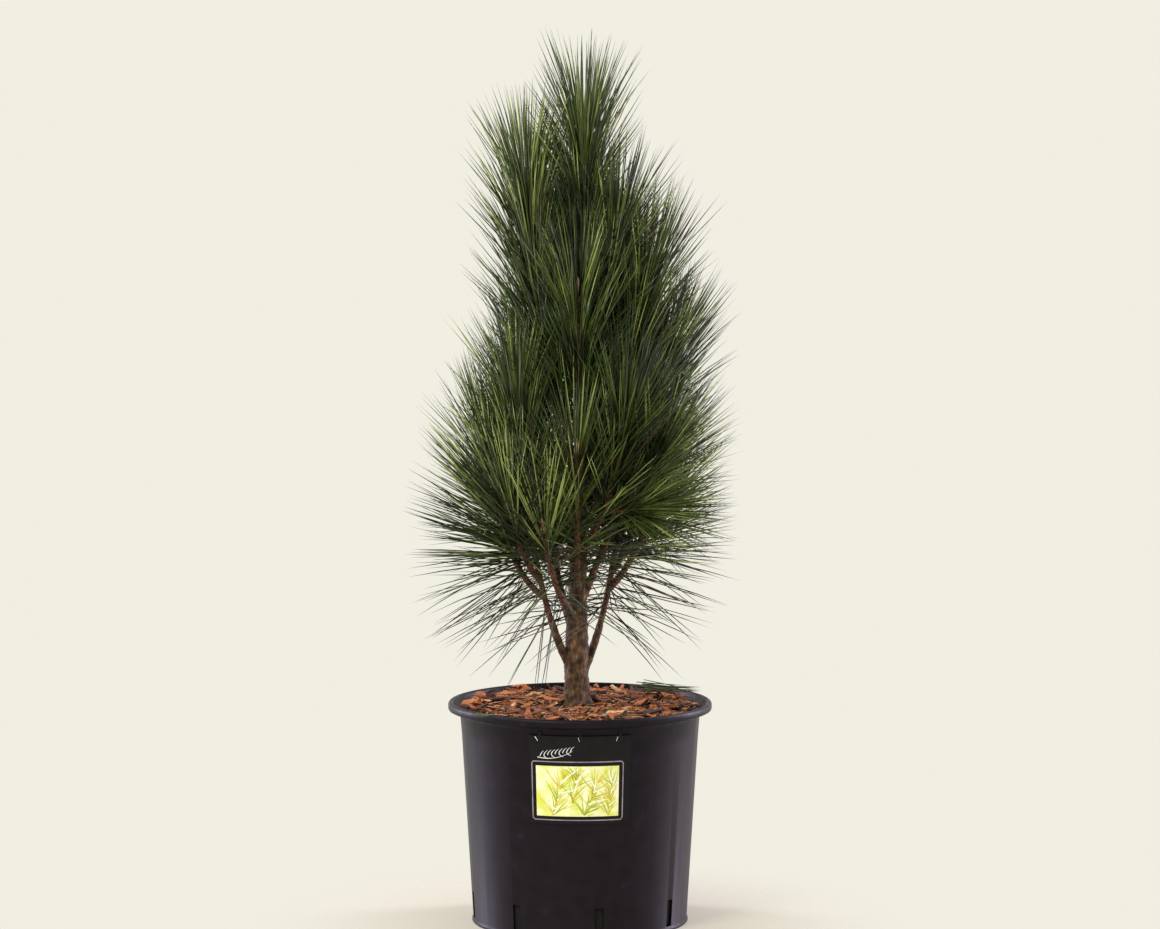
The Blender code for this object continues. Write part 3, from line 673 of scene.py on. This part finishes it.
# the trunk and limbs follow the same rule as the solid model's
trunk = {
    "foot": Vector((footX, footY, 0.2278)), "top": Vector((0.007, 0.0, 0.838)),
    "bow": 0.003, "bowTurns": (5.2, 4.0),
    "girths": [  # height and radius
        (0.228, 0.0165), (0.240, 0.0142), (0.262, 0.0130), (0.301, 0.0122), (0.343, 0.0100),
        (0.450, 0.0070), (0.556, 0.0053), (0.713, 0.0033), (0.838, 0.0026),
    ],
    "lobes": 5, "lobeSize": 0.14, "lobeTurn": 0.7, "flareHeight": 0.035, "sides": 40, "ringStep": 0.0016,
    "seed": 3, "inset": 0.0002, "plateHeight": 0.00095, "fullPlateRadius": 0.012,
}
Limb = namedtuple("Limb", "name parent leaves bud bare sweep lift")
limbs = [
    Limb("upper_left", "trunk", 0.505, (-0.056, -0.016, 0.784), 0.0, 0.74, 0.18),
    Limb("upper_right", "trunk", 0.592, (0.038, -0.014, 0.733), 0.0, 0.70, 0.25),
    Limb("upper_back", "trunk", 0.560, (-0.012, 0.050, 0.748), 0.0, 0.70, 0.25),
    Limb("upper_front", "trunk", 0.520, (-0.002, -0.052, 0.672), 0.0, 0.70, 0.25),
    Limb("right_shoulder", "trunk", 0.440, (0.070, -0.008, 0.684), 0.0, 0.62, 0.35),
    Limb("right", "trunk", 0.333, (0.092, 0.008, 0.604), 0.046, 0.55, 0.42),
    Limb("right_side", "right", 0.42, (0.084, -0.026, 0.500), 0.0, 0.65, 0.35),
    Limb("left", "trunk", 0.262, (-0.066, -0.024, 0.562), 0.066, 0.75, 0.22),
    Limb("left_outer", "left", 0.30, (-0.092, 0.006, 0.510), 0.0, 0.90, 0.18),
    Limb("left_front", "left", 0.36, (-0.072, -0.052, 0.446), 0.0, 0.72, 0.30),
    Limb("rear_right", "trunk", 0.252, (0.052, 0.056, 0.556), 0.070, 0.82, 0.24),
    Limb("rear_right_outer", "rear_right", 0.34, (0.084, 0.034, 0.462), 0.0, 0.66, 0.34),
    Limb("rear_right_back", "rear_right", 0.40, (0.066, 0.088, 0.440), 0.0, 0.66, 0.34),
    Limb("front", "trunk", 0.352, (-0.003, -0.068, 0.505), 0.030, 0.80, 0.20),
    Limb("front_left", "trunk", 0.322, (-0.038, -0.074, 0.424), 0.034, 0.74, 0.30),
    Limb("front_right", "trunk", 0.392, (0.050, -0.058, 0.546), 0.028, 0.70, 0.30),
    Limb("front_right_low", "front_right", 0.36, (0.068, -0.074, 0.446), 0.0, 0.74, 0.28),
    Limb("back_left", "trunk", 0.300, (-0.052, 0.068, 0.600), 0.056, 0.72, 0.26),
    Limb("back_left_low", "back_left", 0.34, (-0.076, 0.060, 0.446), 0.0, 0.72, 0.30),
    Limb("back_right", "trunk", 0.415, (0.030, 0.080, 0.640), 0.028, 0.66, 0.30),
    Limb("back_low", "trunk", 0.345, (-0.014, 0.092, 0.452), 0.034, 0.72, 0.30),
]
pathPoints = 81
directionReach = 0.003  # a stem's direction is read this far before and after a point


def trunkPoint(z):
    share = max(0.0, (z - trunk["foot"].z) / (trunk["top"].z - trunk["foot"].z))
    lean = share * share * (3 - 2 * share)
    turnX, turnY = trunk["bowTurns"]
    x = trunk["foot"].x + (trunk["top"].x - trunk["foot"].x) * lean
    x += trunk["bow"] * math.sin(turnX * share) * share
    return Vector((x, trunk["bow"] * math.sin(turnY * share) * share, z))


def trunkRadius(z):
    return float(np.interp(z, *zip(*trunk["girths"])))


class LimbPath:
    # one smooth bend from the start of a limb to its bud, measured along its length
    def __init__(self, start, bud, sweep, lift):
        across = Vector((bud.x - start.x, bud.y - start.y, 0.0))
        bend = start + across * sweep + Vector((0, 0, (bud.z - start.z) * lift))
        shares = np.linspace(0, 1, pathPoints)[:, None]
        a, b, c = (np.array(v) for v in (start, bend, bud))
        self.points = a * (1 - shares) ** 2 + b * 2 * shares * (1 - shares) + c * shares ** 2
        steps = np.linalg.norm(np.diff(self.points, axis=0), axis=1)
        self.lengths = np.concatenate([[0], np.cumsum(steps)])
        self.length = float(self.lengths[-1])

    def at(self, distance):
        return np.array([np.interp(distance, self.lengths, self.points[:, i]) for i in range(3)])

    def direction(self, distance):
        return unit(self.at(distance + directionReach) - self.at(distance - directionReach))


def limbPaths():
    paths = {}
    for limb in limbs:
        if limb.parent == "trunk":
            start = trunkPoint(limb.leaves)
        else:
            parent = paths[limb.parent]
            start = Vector(parent.at(parent.length * limb.leaves))
        paths[limb.name] = LimbPath(start, Vector(limb.bud), limb.sweep, limb.lift)
    return paths


barkPlates = {
    "start": 6, "around": (3, 2), "along": (0.31, 0.55),  # two long waves, by angle and by ring
    "carry": 0.72, "fresh": 0.28, "swing": 3.2,  # how far a flake goes on from the ring below
    "waveShare": 0.45, "flakeShare": 0.55, "sideHint": (0.2, 1.0, 0.1),
}


def relief(points, radii, sides, roughness, rng):
    # A closed tube whose skin is lifted in ragged plates. roughness is the height of a plate at each ring.
    verts, faces = [], []
    side = unit(np.cross(points[1] - points[0], barkPlates["sideHint"]))
    start = rng.uniform(0, barkPlates["start"])
    (aroundA, aroundB), (alongA, alongB) = barkPlates["around"], barkPlates["along"]
    swing = barkPlates["swing"]
    previous = np.zeros(sides)
    for i, (point, radius) in enumerate(zip(points, radii)):
        along = unit(points[min(i + 1, len(points) - 1)] - points[max(i - 1, 0)])
        side = unit(side - along * float(side @ along))
        other = np.cross(along, side)
        for k in range(sides):
            angle = 2 * math.pi * k / sides
            wave = math.sin(aroundA * angle + start + alongA * i)
            wave *= math.sin(alongB * i + aroundB * angle + start)
            flake = barkPlates["carry"] * previous[k] + barkPlates["fresh"] * rng.uniform(-swing, swing)
            previous[k] = flake
            rise = barkPlates["waveShare"] * wave + barkPlates["flakeShare"] * flake
            reach = radius + roughness[i] * rise
            verts.append(point + (side * math.cos(angle) + other * math.sin(angle)) * reach)
        if i:
            a, b = sides * (i - 1), sides * i
            faces += [(a + k, a + (k + 1) % sides, b + (k + 1) % sides, b + k) for k in range(sides)]
    last = sides * (len(points) - 1)
    faces.append(tuple(reversed(range(sides))))
    faces.append(tuple(last + k for k in range(sides)))
    return verts, faces


def buildTrunk(material):
    rng = random.Random(trunk["seed"])
    count = int((trunk["top"].z - trunk["foot"].z) / trunk["ringStep"])
    heights = np.linspace(trunk["foot"].z, trunk["top"].z, count)
    points = [np.array(trunkPoint(z)) for z in heights]
    radii = [trunkRadius(z) - trunk["inset"] for z in heights]
    rough = [trunk["plateHeight"] * min(1.0, radius / trunk["fullPlateRadius"]) for radius in radii]
    verts, faces = relief(points, radii, trunk["sides"], rough, rng)
    for vert in verts:
        fade = max(0.0, 1 - (vert[2] - trunk["foot"].z) / trunk["flareHeight"])
        dx, dy = vert[0] - footX, vert[1] - footY
        lobe = math.cos(trunk["lobes"] * math.atan2(dy, dx) + trunk["lobeTurn"])
        factor = 1 + trunk["lobeSize"] * fade * lobe
        vert[0], vert[1] = footX + dx * factor, footY + dy * factor
    present(addMesh("trunkBark", verts, faces, material), "bark", "trunk")
    print("trunk grown")


stems = {
    "boughRadius": 0.0052, "boughStart": 0.004, "boughLap": 0.001, "boughStep": 0.0015,
    "boughSides": 20, "boughPlate": 0.00045,
    "radius": 0.0036, "budRadius": 0.0024, "start": 0.002, "sides": 10, "ringStep": 0.0022, "scar": 0.0004,
}
buds = {
    "spots": [-0.003, 0.0, 0.004, 0.009, 0.013, 0.0155],  # from below the tip of the shoot up to the point
    "radii": [0.0020, 0.0030, 0.0034, 0.0026, 0.0014, 0.0003],
    "sides": 10, "scale": 0.00012, "seed": 8, "directionBack": 0.004,
}


def buildBoughs(paths, material):
    for limb in limbs:
        if not limb.bare:
            continue
        rng = random.Random(limb.name)
        path = paths[limb.name]
        count = int(limb.bare / stems["boughStep"])
        spots = np.linspace(stems["boughStart"], limb.bare + stems["boughLap"], count)
        points = [path.at(spot) for spot in spots]
        slim = (stems["radius"] - stems["boughRadius"]) / limb.bare
        radii = [stems["boughRadius"] + slim * spot for spot in spots]
        shape = relief(points, radii, stems["boughSides"], [stems["boughPlate"]] * count, rng)
        present(addMesh(limb.name + "_boughBark", *shape, material), "bark", limb.name + "_bough")
    print("boughs grown")


def buildShoots(paths, material):
    # every leafy stem in one piece, with its leaf scars, and a bud at its end
    stemShapes, tips = [], []
    for limb in limbs:
        rng = random.Random(limb.name + "stem")
        path = paths[limb.name]
        first = limb.bare if limb.bare else stems["start"]
        count = int((path.length - first) / stems["ringStep"])
        spots = np.linspace(first, path.length, count)
        points = [path.at(spot) for spot in spots]
        slim = stems["budRadius"] - stems["radius"]
        radii = [stems["radius"] + slim * spot / path.length for spot in spots]
        stemShapes.append(relief(points, radii, stems["sides"], [stems["scar"]] * count, rng))
        tips.append((path.at(path.length), path.direction(path.length - buds["directionBack"])))
    tips.append((np.array(trunk["top"]), np.array([0.0, 0.0, 1.0])))
    present(addMesh("shootStems", *joined(stemShapes), material), "bark")
    scales = [buds["scale"]] * len(buds["spots"])
    budShapes = []
    for tip, along in tips:
        points = [tip + along * spot for spot in buds["spots"]]
        budShapes.append(relief(points, buds["radii"], buds["sides"], scales, random.Random(buds["seed"])))
    budSkin = needleSkin("budScales", "#7a5236", "#c9b092", 0.6)
    present(addMesh("shootBuds", *joined(budShapes), budSkin), "needles")
    print("shoots grown")


needles = {
    "length": 0.114, "variation": 0.13, "longShare": 0.6, "radius": 0.00068, "radiusRange": (0.85, 1.15),
    "step": 0.00070, "crowding": 0.78, "bareStart": 0.010, "leastBare": 0.008,
    "turn": math.radians(137.508), "sideHint": (0.3, 1.0, 0.1),
    "sleeveStart": 0.560,  # needles grow on the trunk itself from here up
    "leanByHeight": [(0.30, 120), (0.36, 102), (0.40, 64), (0.44, 34), (0.52, 27), (0.66, 25)],
    "leanJitter": 13, "leastLean": 2.0, "tuftLength": 0.070, "tuftLean": 18, "tuftJitter": 15,
    "pairSplay": 6.0, "splayRange": (0.2, 1.0), "rootDepth": 0.6,
    "bend": 0.10, "bendRange": (0.1, 0.7), "bendJitter": 0.03, "bendAlong": 0.5,
    "lowest": 0.244, "reachMargin": 0.006, "shortened": (1.0, 0.9, 0.78, 0.64, 0.5),
    "openLimbs": {"front": 0.58, "front_left": 0.50, "front_right": 0.42, "upper_front": 0.45},
    "thinBelow": 0.385, "thinShare": 0.46,
    "oldFrom": 0.42, "oldBand": 0.10, "oldLonger": 0.24, "oldSag": 1.8,
    "spray": 9, "sprayShare": 0.7, "youngAndLitReach": 0.12, "lowBand": 0.12,
}
needleTints = [  # name, dark and light colour, roughness, and the share in all, when young near a bud and when low down; the darkest tint is painted shade, and the brightest is the paler young green with painted light on the lit tips
    # painted shade: the darkest green, given most to the needles low in the crown
    ("needlesDeep", "#171f0c", "#263214", 0.50, (3.4, 0.0, 6.0)),
    ("needlesGreen", "#2b3914", "#425520", 0.44, (3.6, 0.0, -1.4)),
    ("needlesOlive", "#4d5d25", "#697933", 0.42, (1.7, 1.2, -0.8)),
    # the paler green of young needles, brightened as painted light on the lit tips
    ("needlesBright", "#7e8f45", "#a8b464", 0.40, (0.45, 0.8, 0.0)),
    ("needlesOld", "#2b2112", "#4c3b1e", 0.60, (0.20, 0.0, 7.0)),
]
needleRings = ((0.0, 0.8), (0.34, 1.0), (0.72, 0.82))  # share of the length, and of the radius there
needleFaces = [  # three rings of three points, and the tip
    (0, 1, 4, 3), (1, 2, 5, 4), (2, 0, 3, 5), (3, 4, 7, 6), (4, 5, 8, 7), (5, 3, 6, 8),
    (6, 7, 9), (7, 8, 9), (8, 6, 9), (2, 1, 0),
]
reachBox = [
    np.array(frameBounds[0]) - needles["reachMargin"],
    np.array(frameBounds[1]) + needles["reachMargin"],
]


class NeedleHeap:
    # needles of one tint, as rows of root, heading, bend, length and radius
    def __init__(self):
        self.rows = []

    def add(self, root, heading, bend, length, radius):
        self.rows.append(np.concatenate([root, heading, bend, [length, radius]]))

    def mesh(self, name, material):
        rows = np.array(self.rows)
        root, heading, bend = rows[:, 0:3], rows[:, 3:6], rows[:, 6:9]
        length, radius = rows[:, 9:10], rows[:, 10:11]
        helper = np.where(np.abs(heading[:, 2:3]) > 0.9, [[1.0, 0.0, 0.0]], [[0.0, 0.0, 1.0]])
        side = np.cross(heading, helper)
        side /= np.linalg.norm(side, axis=1)[:, None]
        other = np.cross(heading, side)
        blocks = []
        for share, width in needleRings:
            centre = root + heading * length * share + bend * length * share * share
            for k in range(3):
                angle = 2 * math.pi * k / 3
                blocks.append(centre + (side * math.cos(angle) + other * math.sin(angle)) * radius * width)
        blocks.append(root + (heading + bend) * length)
        verts = np.stack(blocks, axis=1).reshape(-1, 3)
        starts = range(0, len(verts), len(blocks))
        faces = [tuple(start + v for v in face) for start in starts for face in needleFaces]
        return addMesh(name, verts, faces, material)


def needleLean(height, left, rng):
    # degrees away from the stem, by height, and closer together over the last part before a bud
    old = float(np.interp(height, *zip(*needles["leanByHeight"])))
    share = max(0.0, 1 - left / needles["tuftLength"])
    lean = old + (needles["tuftLean"] - old) * share
    jitter = needles["leanJitter"] + (needles["tuftJitter"] - needles["leanJitter"]) * share
    return math.radians(max(needles["leastLean"], lean + rng.uniform(-jitter, jitter)))


def sprayTint(height, left, rng):
    # needles near a bud get the brightest tints, partly the paler green of young needles and partly painted
    # light on the lit tips; the lowest get the darkest, painted shade under the crown, and some are brown
    youngAndLit = max(0.0, 1 - left / needles["youngAndLitReach"])
    low = max(0.0, min(1.0, (needles["oldFrom"] - height) / needles["lowBand"]))
    shares = [always + byYoungAndLit * youngAndLit + byLow * low for _, _, _, _, (always, byYoungAndLit, byLow) in needleTints]
    return rng.choices([row[0] for row in needleTints], shares)[0]


def withinReach(tip):
    low, high = reachBox
    return all(low[i] <= tip[i] <= high[i] for i in range(3)) and tip[2] > needles["lowest"]


def growNeedles(centre, direction, radiusAt, first, last, heaps, rng, openShare=0.0):
    # the solid model's spiral, with pairs of real needles close together
    count = int((last - first) / needles["step"])
    turn = rng.uniform(0, 2 * math.pi)
    tint = "needlesGreen"
    for i in range(count):
        distance = first + (last - first) * ((i + 0.5) / count) ** needles["crowding"]
        root, axis = centre(distance), direction(distance)
        left = last - distance
        if root[2] < needles["thinBelow"] and rng.random() < needles["thinShare"]:
            continue
        if rng.random() < openShare:
            continue
        if i % needles["spray"] == 0:
            tint = sprayTint(root[2], left, rng)
        side = unit(np.cross(axis, needles["sideHint"]))
        angle = turn + i * needles["turn"]
        out = side * math.cos(angle) + np.cross(axis, side) * math.sin(angle)
        lean = needleLean(root[2], left, rng)
        heading = axis * math.cos(lean) + out * math.sin(lean)
        across = unit(np.cross(heading, unit(np.array([rng.gauss(0, 1) for _ in range(3)]))))
        spread = needles["variation"]
        length = needles["length"] * (1 + rng.uniform(-spread, spread * needles["longShare"]))
        age = max(0.0, min(1.0, (needles["oldFrom"] - root[2]) / needles["oldBand"]))
        length *= 1 + needles["oldLonger"] * age
        own = tint if rng.random() < needles["sprayShare"] else sprayTint(root[2], left, rng)
        start = root + out * radiusAt(distance) * needles["rootDepth"]
        for sign in (-1, 1):
            splay = math.radians(needles["pairSplay"] * rng.uniform(*needles["splayRange"])) * sign
            way = unit(heading + across * math.tan(splay))
            bend = np.array([rng.gauss(0, needles["bendJitter"]) for _ in range(2)] + [-needles["bend"]])
            bend[2] *= rng.uniform(*needles["bendRange"])
            bend[2] *= 1 + needles["oldSag"] * age
            bend = bend + axis * needles["bend"] * needles["bendAlong"]
            for share in needles["shortened"]:
                if withinReach(start + (way + bend) * length * share):
                    radius = needles["radius"] * rng.uniform(*needles["radiusRange"])
                    heaps[own].add(start, way, bend, length * share, radius)
                    break


def growOnLimbs(paths, heaps):
    def stemRadius(_):
        return stems["radius"]

    for limb in limbs:
        path = paths[limb.name]
        first = max(limb.bare, needles["leastBare"]) + needles["bareStart"]
        openShare = needles["openLimbs"].get(limb.name, 0.0)
        rng = random.Random(limb.name)
        growNeedles(path.at, path.direction, stemRadius, first, path.length, heaps, rng, openShare)


def growOnTrunk(heaps):
    def centre(z):
        return np.array(trunkPoint(z))

    def direction(z):
        return unit(centre(z + directionReach) - centre(z - directionReach))

    rng = random.Random("leader")
    growNeedles(centre, direction, trunkRadius, needles["sleeveStart"], trunk["top"].z, heaps, rng)


loose = {
    "seed": 12, "overRim": 26, "rimRadius": 0.0006, "rimBend": (0, 0, 0.01),
    "rimTints": ("needlesGreen", "needlesDeep", "needlesOld"),
    "rimFoot": (0.052, 0.052, 0.239), "rimFootSpread": ((0, 0.03), (-0.03, 0.016), (0, 0.010)),
    "rimEnd": (0.126, 0.046), "rimEndSpread": ((-0.03, 0.010), (-0.034, 0.026)), "rimEndHeight": 0.2405,
    "atLeft": 4, "leftTint": "needlesOlive", "leftRadius": 0.0007, "leftLength": 0.034,
    "leftBend": (0, 0, -0.1),
    "leftFoot": (-0.085, -0.090, 0.2335), "leftFootStep": (-0.006, 0.003, 0),
    "leftWay": (-0.020, -0.030, 0.006), "leftWayStep": (0.004, 0, 0),
}


def layLooseNeedles(heaps):
    # a bunch that lies over the rim at the right back, and a few at the front left
    rng = random.Random(loose["seed"])
    for _ in range(loose["overRim"]):
        start = [at + rng.uniform(*spread) for at, spread in zip(loose["rimFoot"], loose["rimFootSpread"])]
        end = [at + rng.uniform(*spread) for at, spread in zip(loose["rimEnd"], loose["rimEndSpread"])]
        way = np.array(end + [loose["rimEndHeight"]]) - np.array(start)
        heap = heaps[rng.choice(loose["rimTints"])]
        heap.add(np.array(start), unit(way), loose["rimBend"], float(np.linalg.norm(way)), loose["rimRadius"])
    for i in range(loose["atLeft"]):
        start = np.array(loose["leftFoot"]) + i * np.array(loose["leftFootStep"])
        way = np.array(loose["leftWay"]) + i * np.array(loose["leftWayStep"])
        heap = heaps[loose["leftTint"]]
        heap.add(start, unit(way), loose["leftBend"], loose["leftLength"], loose["leftRadius"])


def buildNeedles(paths):
    heaps = {row[0]: NeedleHeap() for row in needleTints}
    growOnLimbs(paths, heaps)
    growOnTrunk(heaps)
    layLooseNeedles(heaps)
    masses = sorted(name for name in nodes if name.endswith("_needles"))
    for name, dark, light, roughness, _ in needleTints:
        piece = heaps[name].mesh(name, needleSkin(name + "Skin", dark, light, roughness))
        present(piece, "needles", *masses)
        print(name, len(heaps[name].rows))


fibres = {
    "seed": 31, "count": 240, "length": (0.018, 0.062), "radius": (0.0003, 0.0007), "margin": 0.006,
    "rise": (-0.02, 0.09), "lift": (0.003, 0.0065), "curl": 0.12, "sag": -0.04, "trunkClear": 0.016,
}


def buildFibres():
    # fallen brown needles and coir strands that lie on the chips
    rng = random.Random(fibres["seed"])
    heap = NeedleHeap()
    for _ in range(fibres["count"]):
        x, y = mulchSpot(rng, fibres["margin"])
        angle = rng.uniform(0, 2 * math.pi)
        length = rng.uniform(*fibres["length"])
        heading = np.array([math.cos(angle), math.sin(angle), rng.uniform(*fibres["rise"])])
        endX, endY = np.array([x, y]) + heading[:2] * length
        nearTrunk = math.hypot(endX - footX, endY - footY) < fibres["trunkClear"]
        if math.hypot(endX, endY) > mulch["edge"] or nearTrunk:
            continue
        root = np.array([x, y, mulchHeight(x, y) + rng.uniform(*fibres["lift"])])
        bend = np.array([rng.gauss(0, fibres["curl"]), rng.gauss(0, fibres["curl"]), fibres["sag"]])
        heap.add(root, unit(heading), bend, length, rng.uniform(*fibres["radius"]))
    piece = heap.mesh("mulchFibres", barkMulch("coirFibre", "#7c5230", "#cf9f6a"))
    present(piece, "bark_mulch")
    print("fibres laid")


studio = {
    "backdrop": "#f1eee2", "paper": "#b8b3a2", "lens": 132.7, "sensor": 36.0,
    "distance": 4.5, "height": 0.906, "pitch": 5.32,
    "floorRadius": 1.2, "floorSides": 96, "floorDrop": 0.0005,
    "fadeFrom": 0.13, "fadeTo": 0.36, "floorAlpha": 0.80,
    "lights": [  # name, place, target, size, watts, colour
        ("keyLight", (-1.6, -2.2, 2.6), (0, 0, 0.5), (1.0, 1.0), 60, "#fff8ee"),
        ("leftEdge", (-1.8, 0.9, 0.9), (0, 0, 0.3), (0.5, 1.8), 62, "#e2def8"),
        ("rightEdge", (1.8, 0.8, 0.9), (0, 0, 0.3), (0.5, 1.8), 62, "#e6dcf6"),
    ],
}


def paper():
    # Matt uncoated paper roll: even and pale, and it fades out so that no edge shows behind the pot.
    material, tree, shader, place = startMaterial("palePaper")
    distance = addNode(tree, "ShaderNodeVectorMath", {"operation": "LENGTH"}, {0: place})
    fade = addNode(
        tree, "ShaderNodeMapRange", {"interpolation_type": "SMOOTHSTEP"},
        {
            "Value": distance.outputs["Value"], "From Min": studio["fadeFrom"], "From Max": studio["fadeTo"],
            "To Min": studio["floorAlpha"], "To Max": 0.0,
        },
    )
    plug(tree, shader, {"Base Color": linear(studio["paper"]), "Roughness": 0.95, "Alpha": fade.outputs[0]})
    return material


def buildStudio():
    scene = bpy.context.scene
    world = bpy.data.worlds.new("paleRoom")
    world.use_nodes = True
    world.node_tree.nodes["Background"].inputs["Color"].default_value = linear(studio["backdrop"])
    scene.world = world

    for name, place, target, size, watts, colour in studio["lights"]:
        data = bpy.data.lights.new(name, "AREA")
        data.shape = "RECTANGLE"
        data.size, data.size_y = size
        data.energy = watts
        data.color = linear(colour)[:3]
        light = bpy.data.objects.new(name, data)
        light.location = place
        light.rotation_euler = (Vector(target) - Vector(place)).to_track_quat("-Z", "Y").to_euler()
        scene.collection.objects.link(light)

    bpy.ops.mesh.primitive_circle_add(
        vertices=studio["floorSides"], radius=studio["floorRadius"], fill_type="NGON",
        location=(0, 0, -studio["floorDrop"]),
    )
    floor = bpy.context.object
    floor.name = "paperFloor"
    floor.data.materials.append(paper())

    camera = bpy.data.objects.new("camera", bpy.data.cameras.new("camera"))
    camera.data.lens = studio["lens"]
    camera.data.sensor_width = studio["sensor"]
    camera.location = (0.0, -studio["distance"], studio["height"])
    camera.rotation_euler = (math.radians(90 - studio["pitch"]), 0, 0)
    scene.collection.objects.link(camera)
    scene.camera = camera
    scene.view_settings.view_transform = "Standard"
    print("studio set")


barkMaterial = pineBark()
limbCurves = limbPaths()
buildPot(polyethylene())
buildMulch()
buildLabel()
buildTrunk(barkMaterial)
buildBoughs(limbCurves, barkMaterial)
buildShoots(limbCurves, shootBark())
buildNeedles(limbCurves)
buildFibres()
buildStudio()
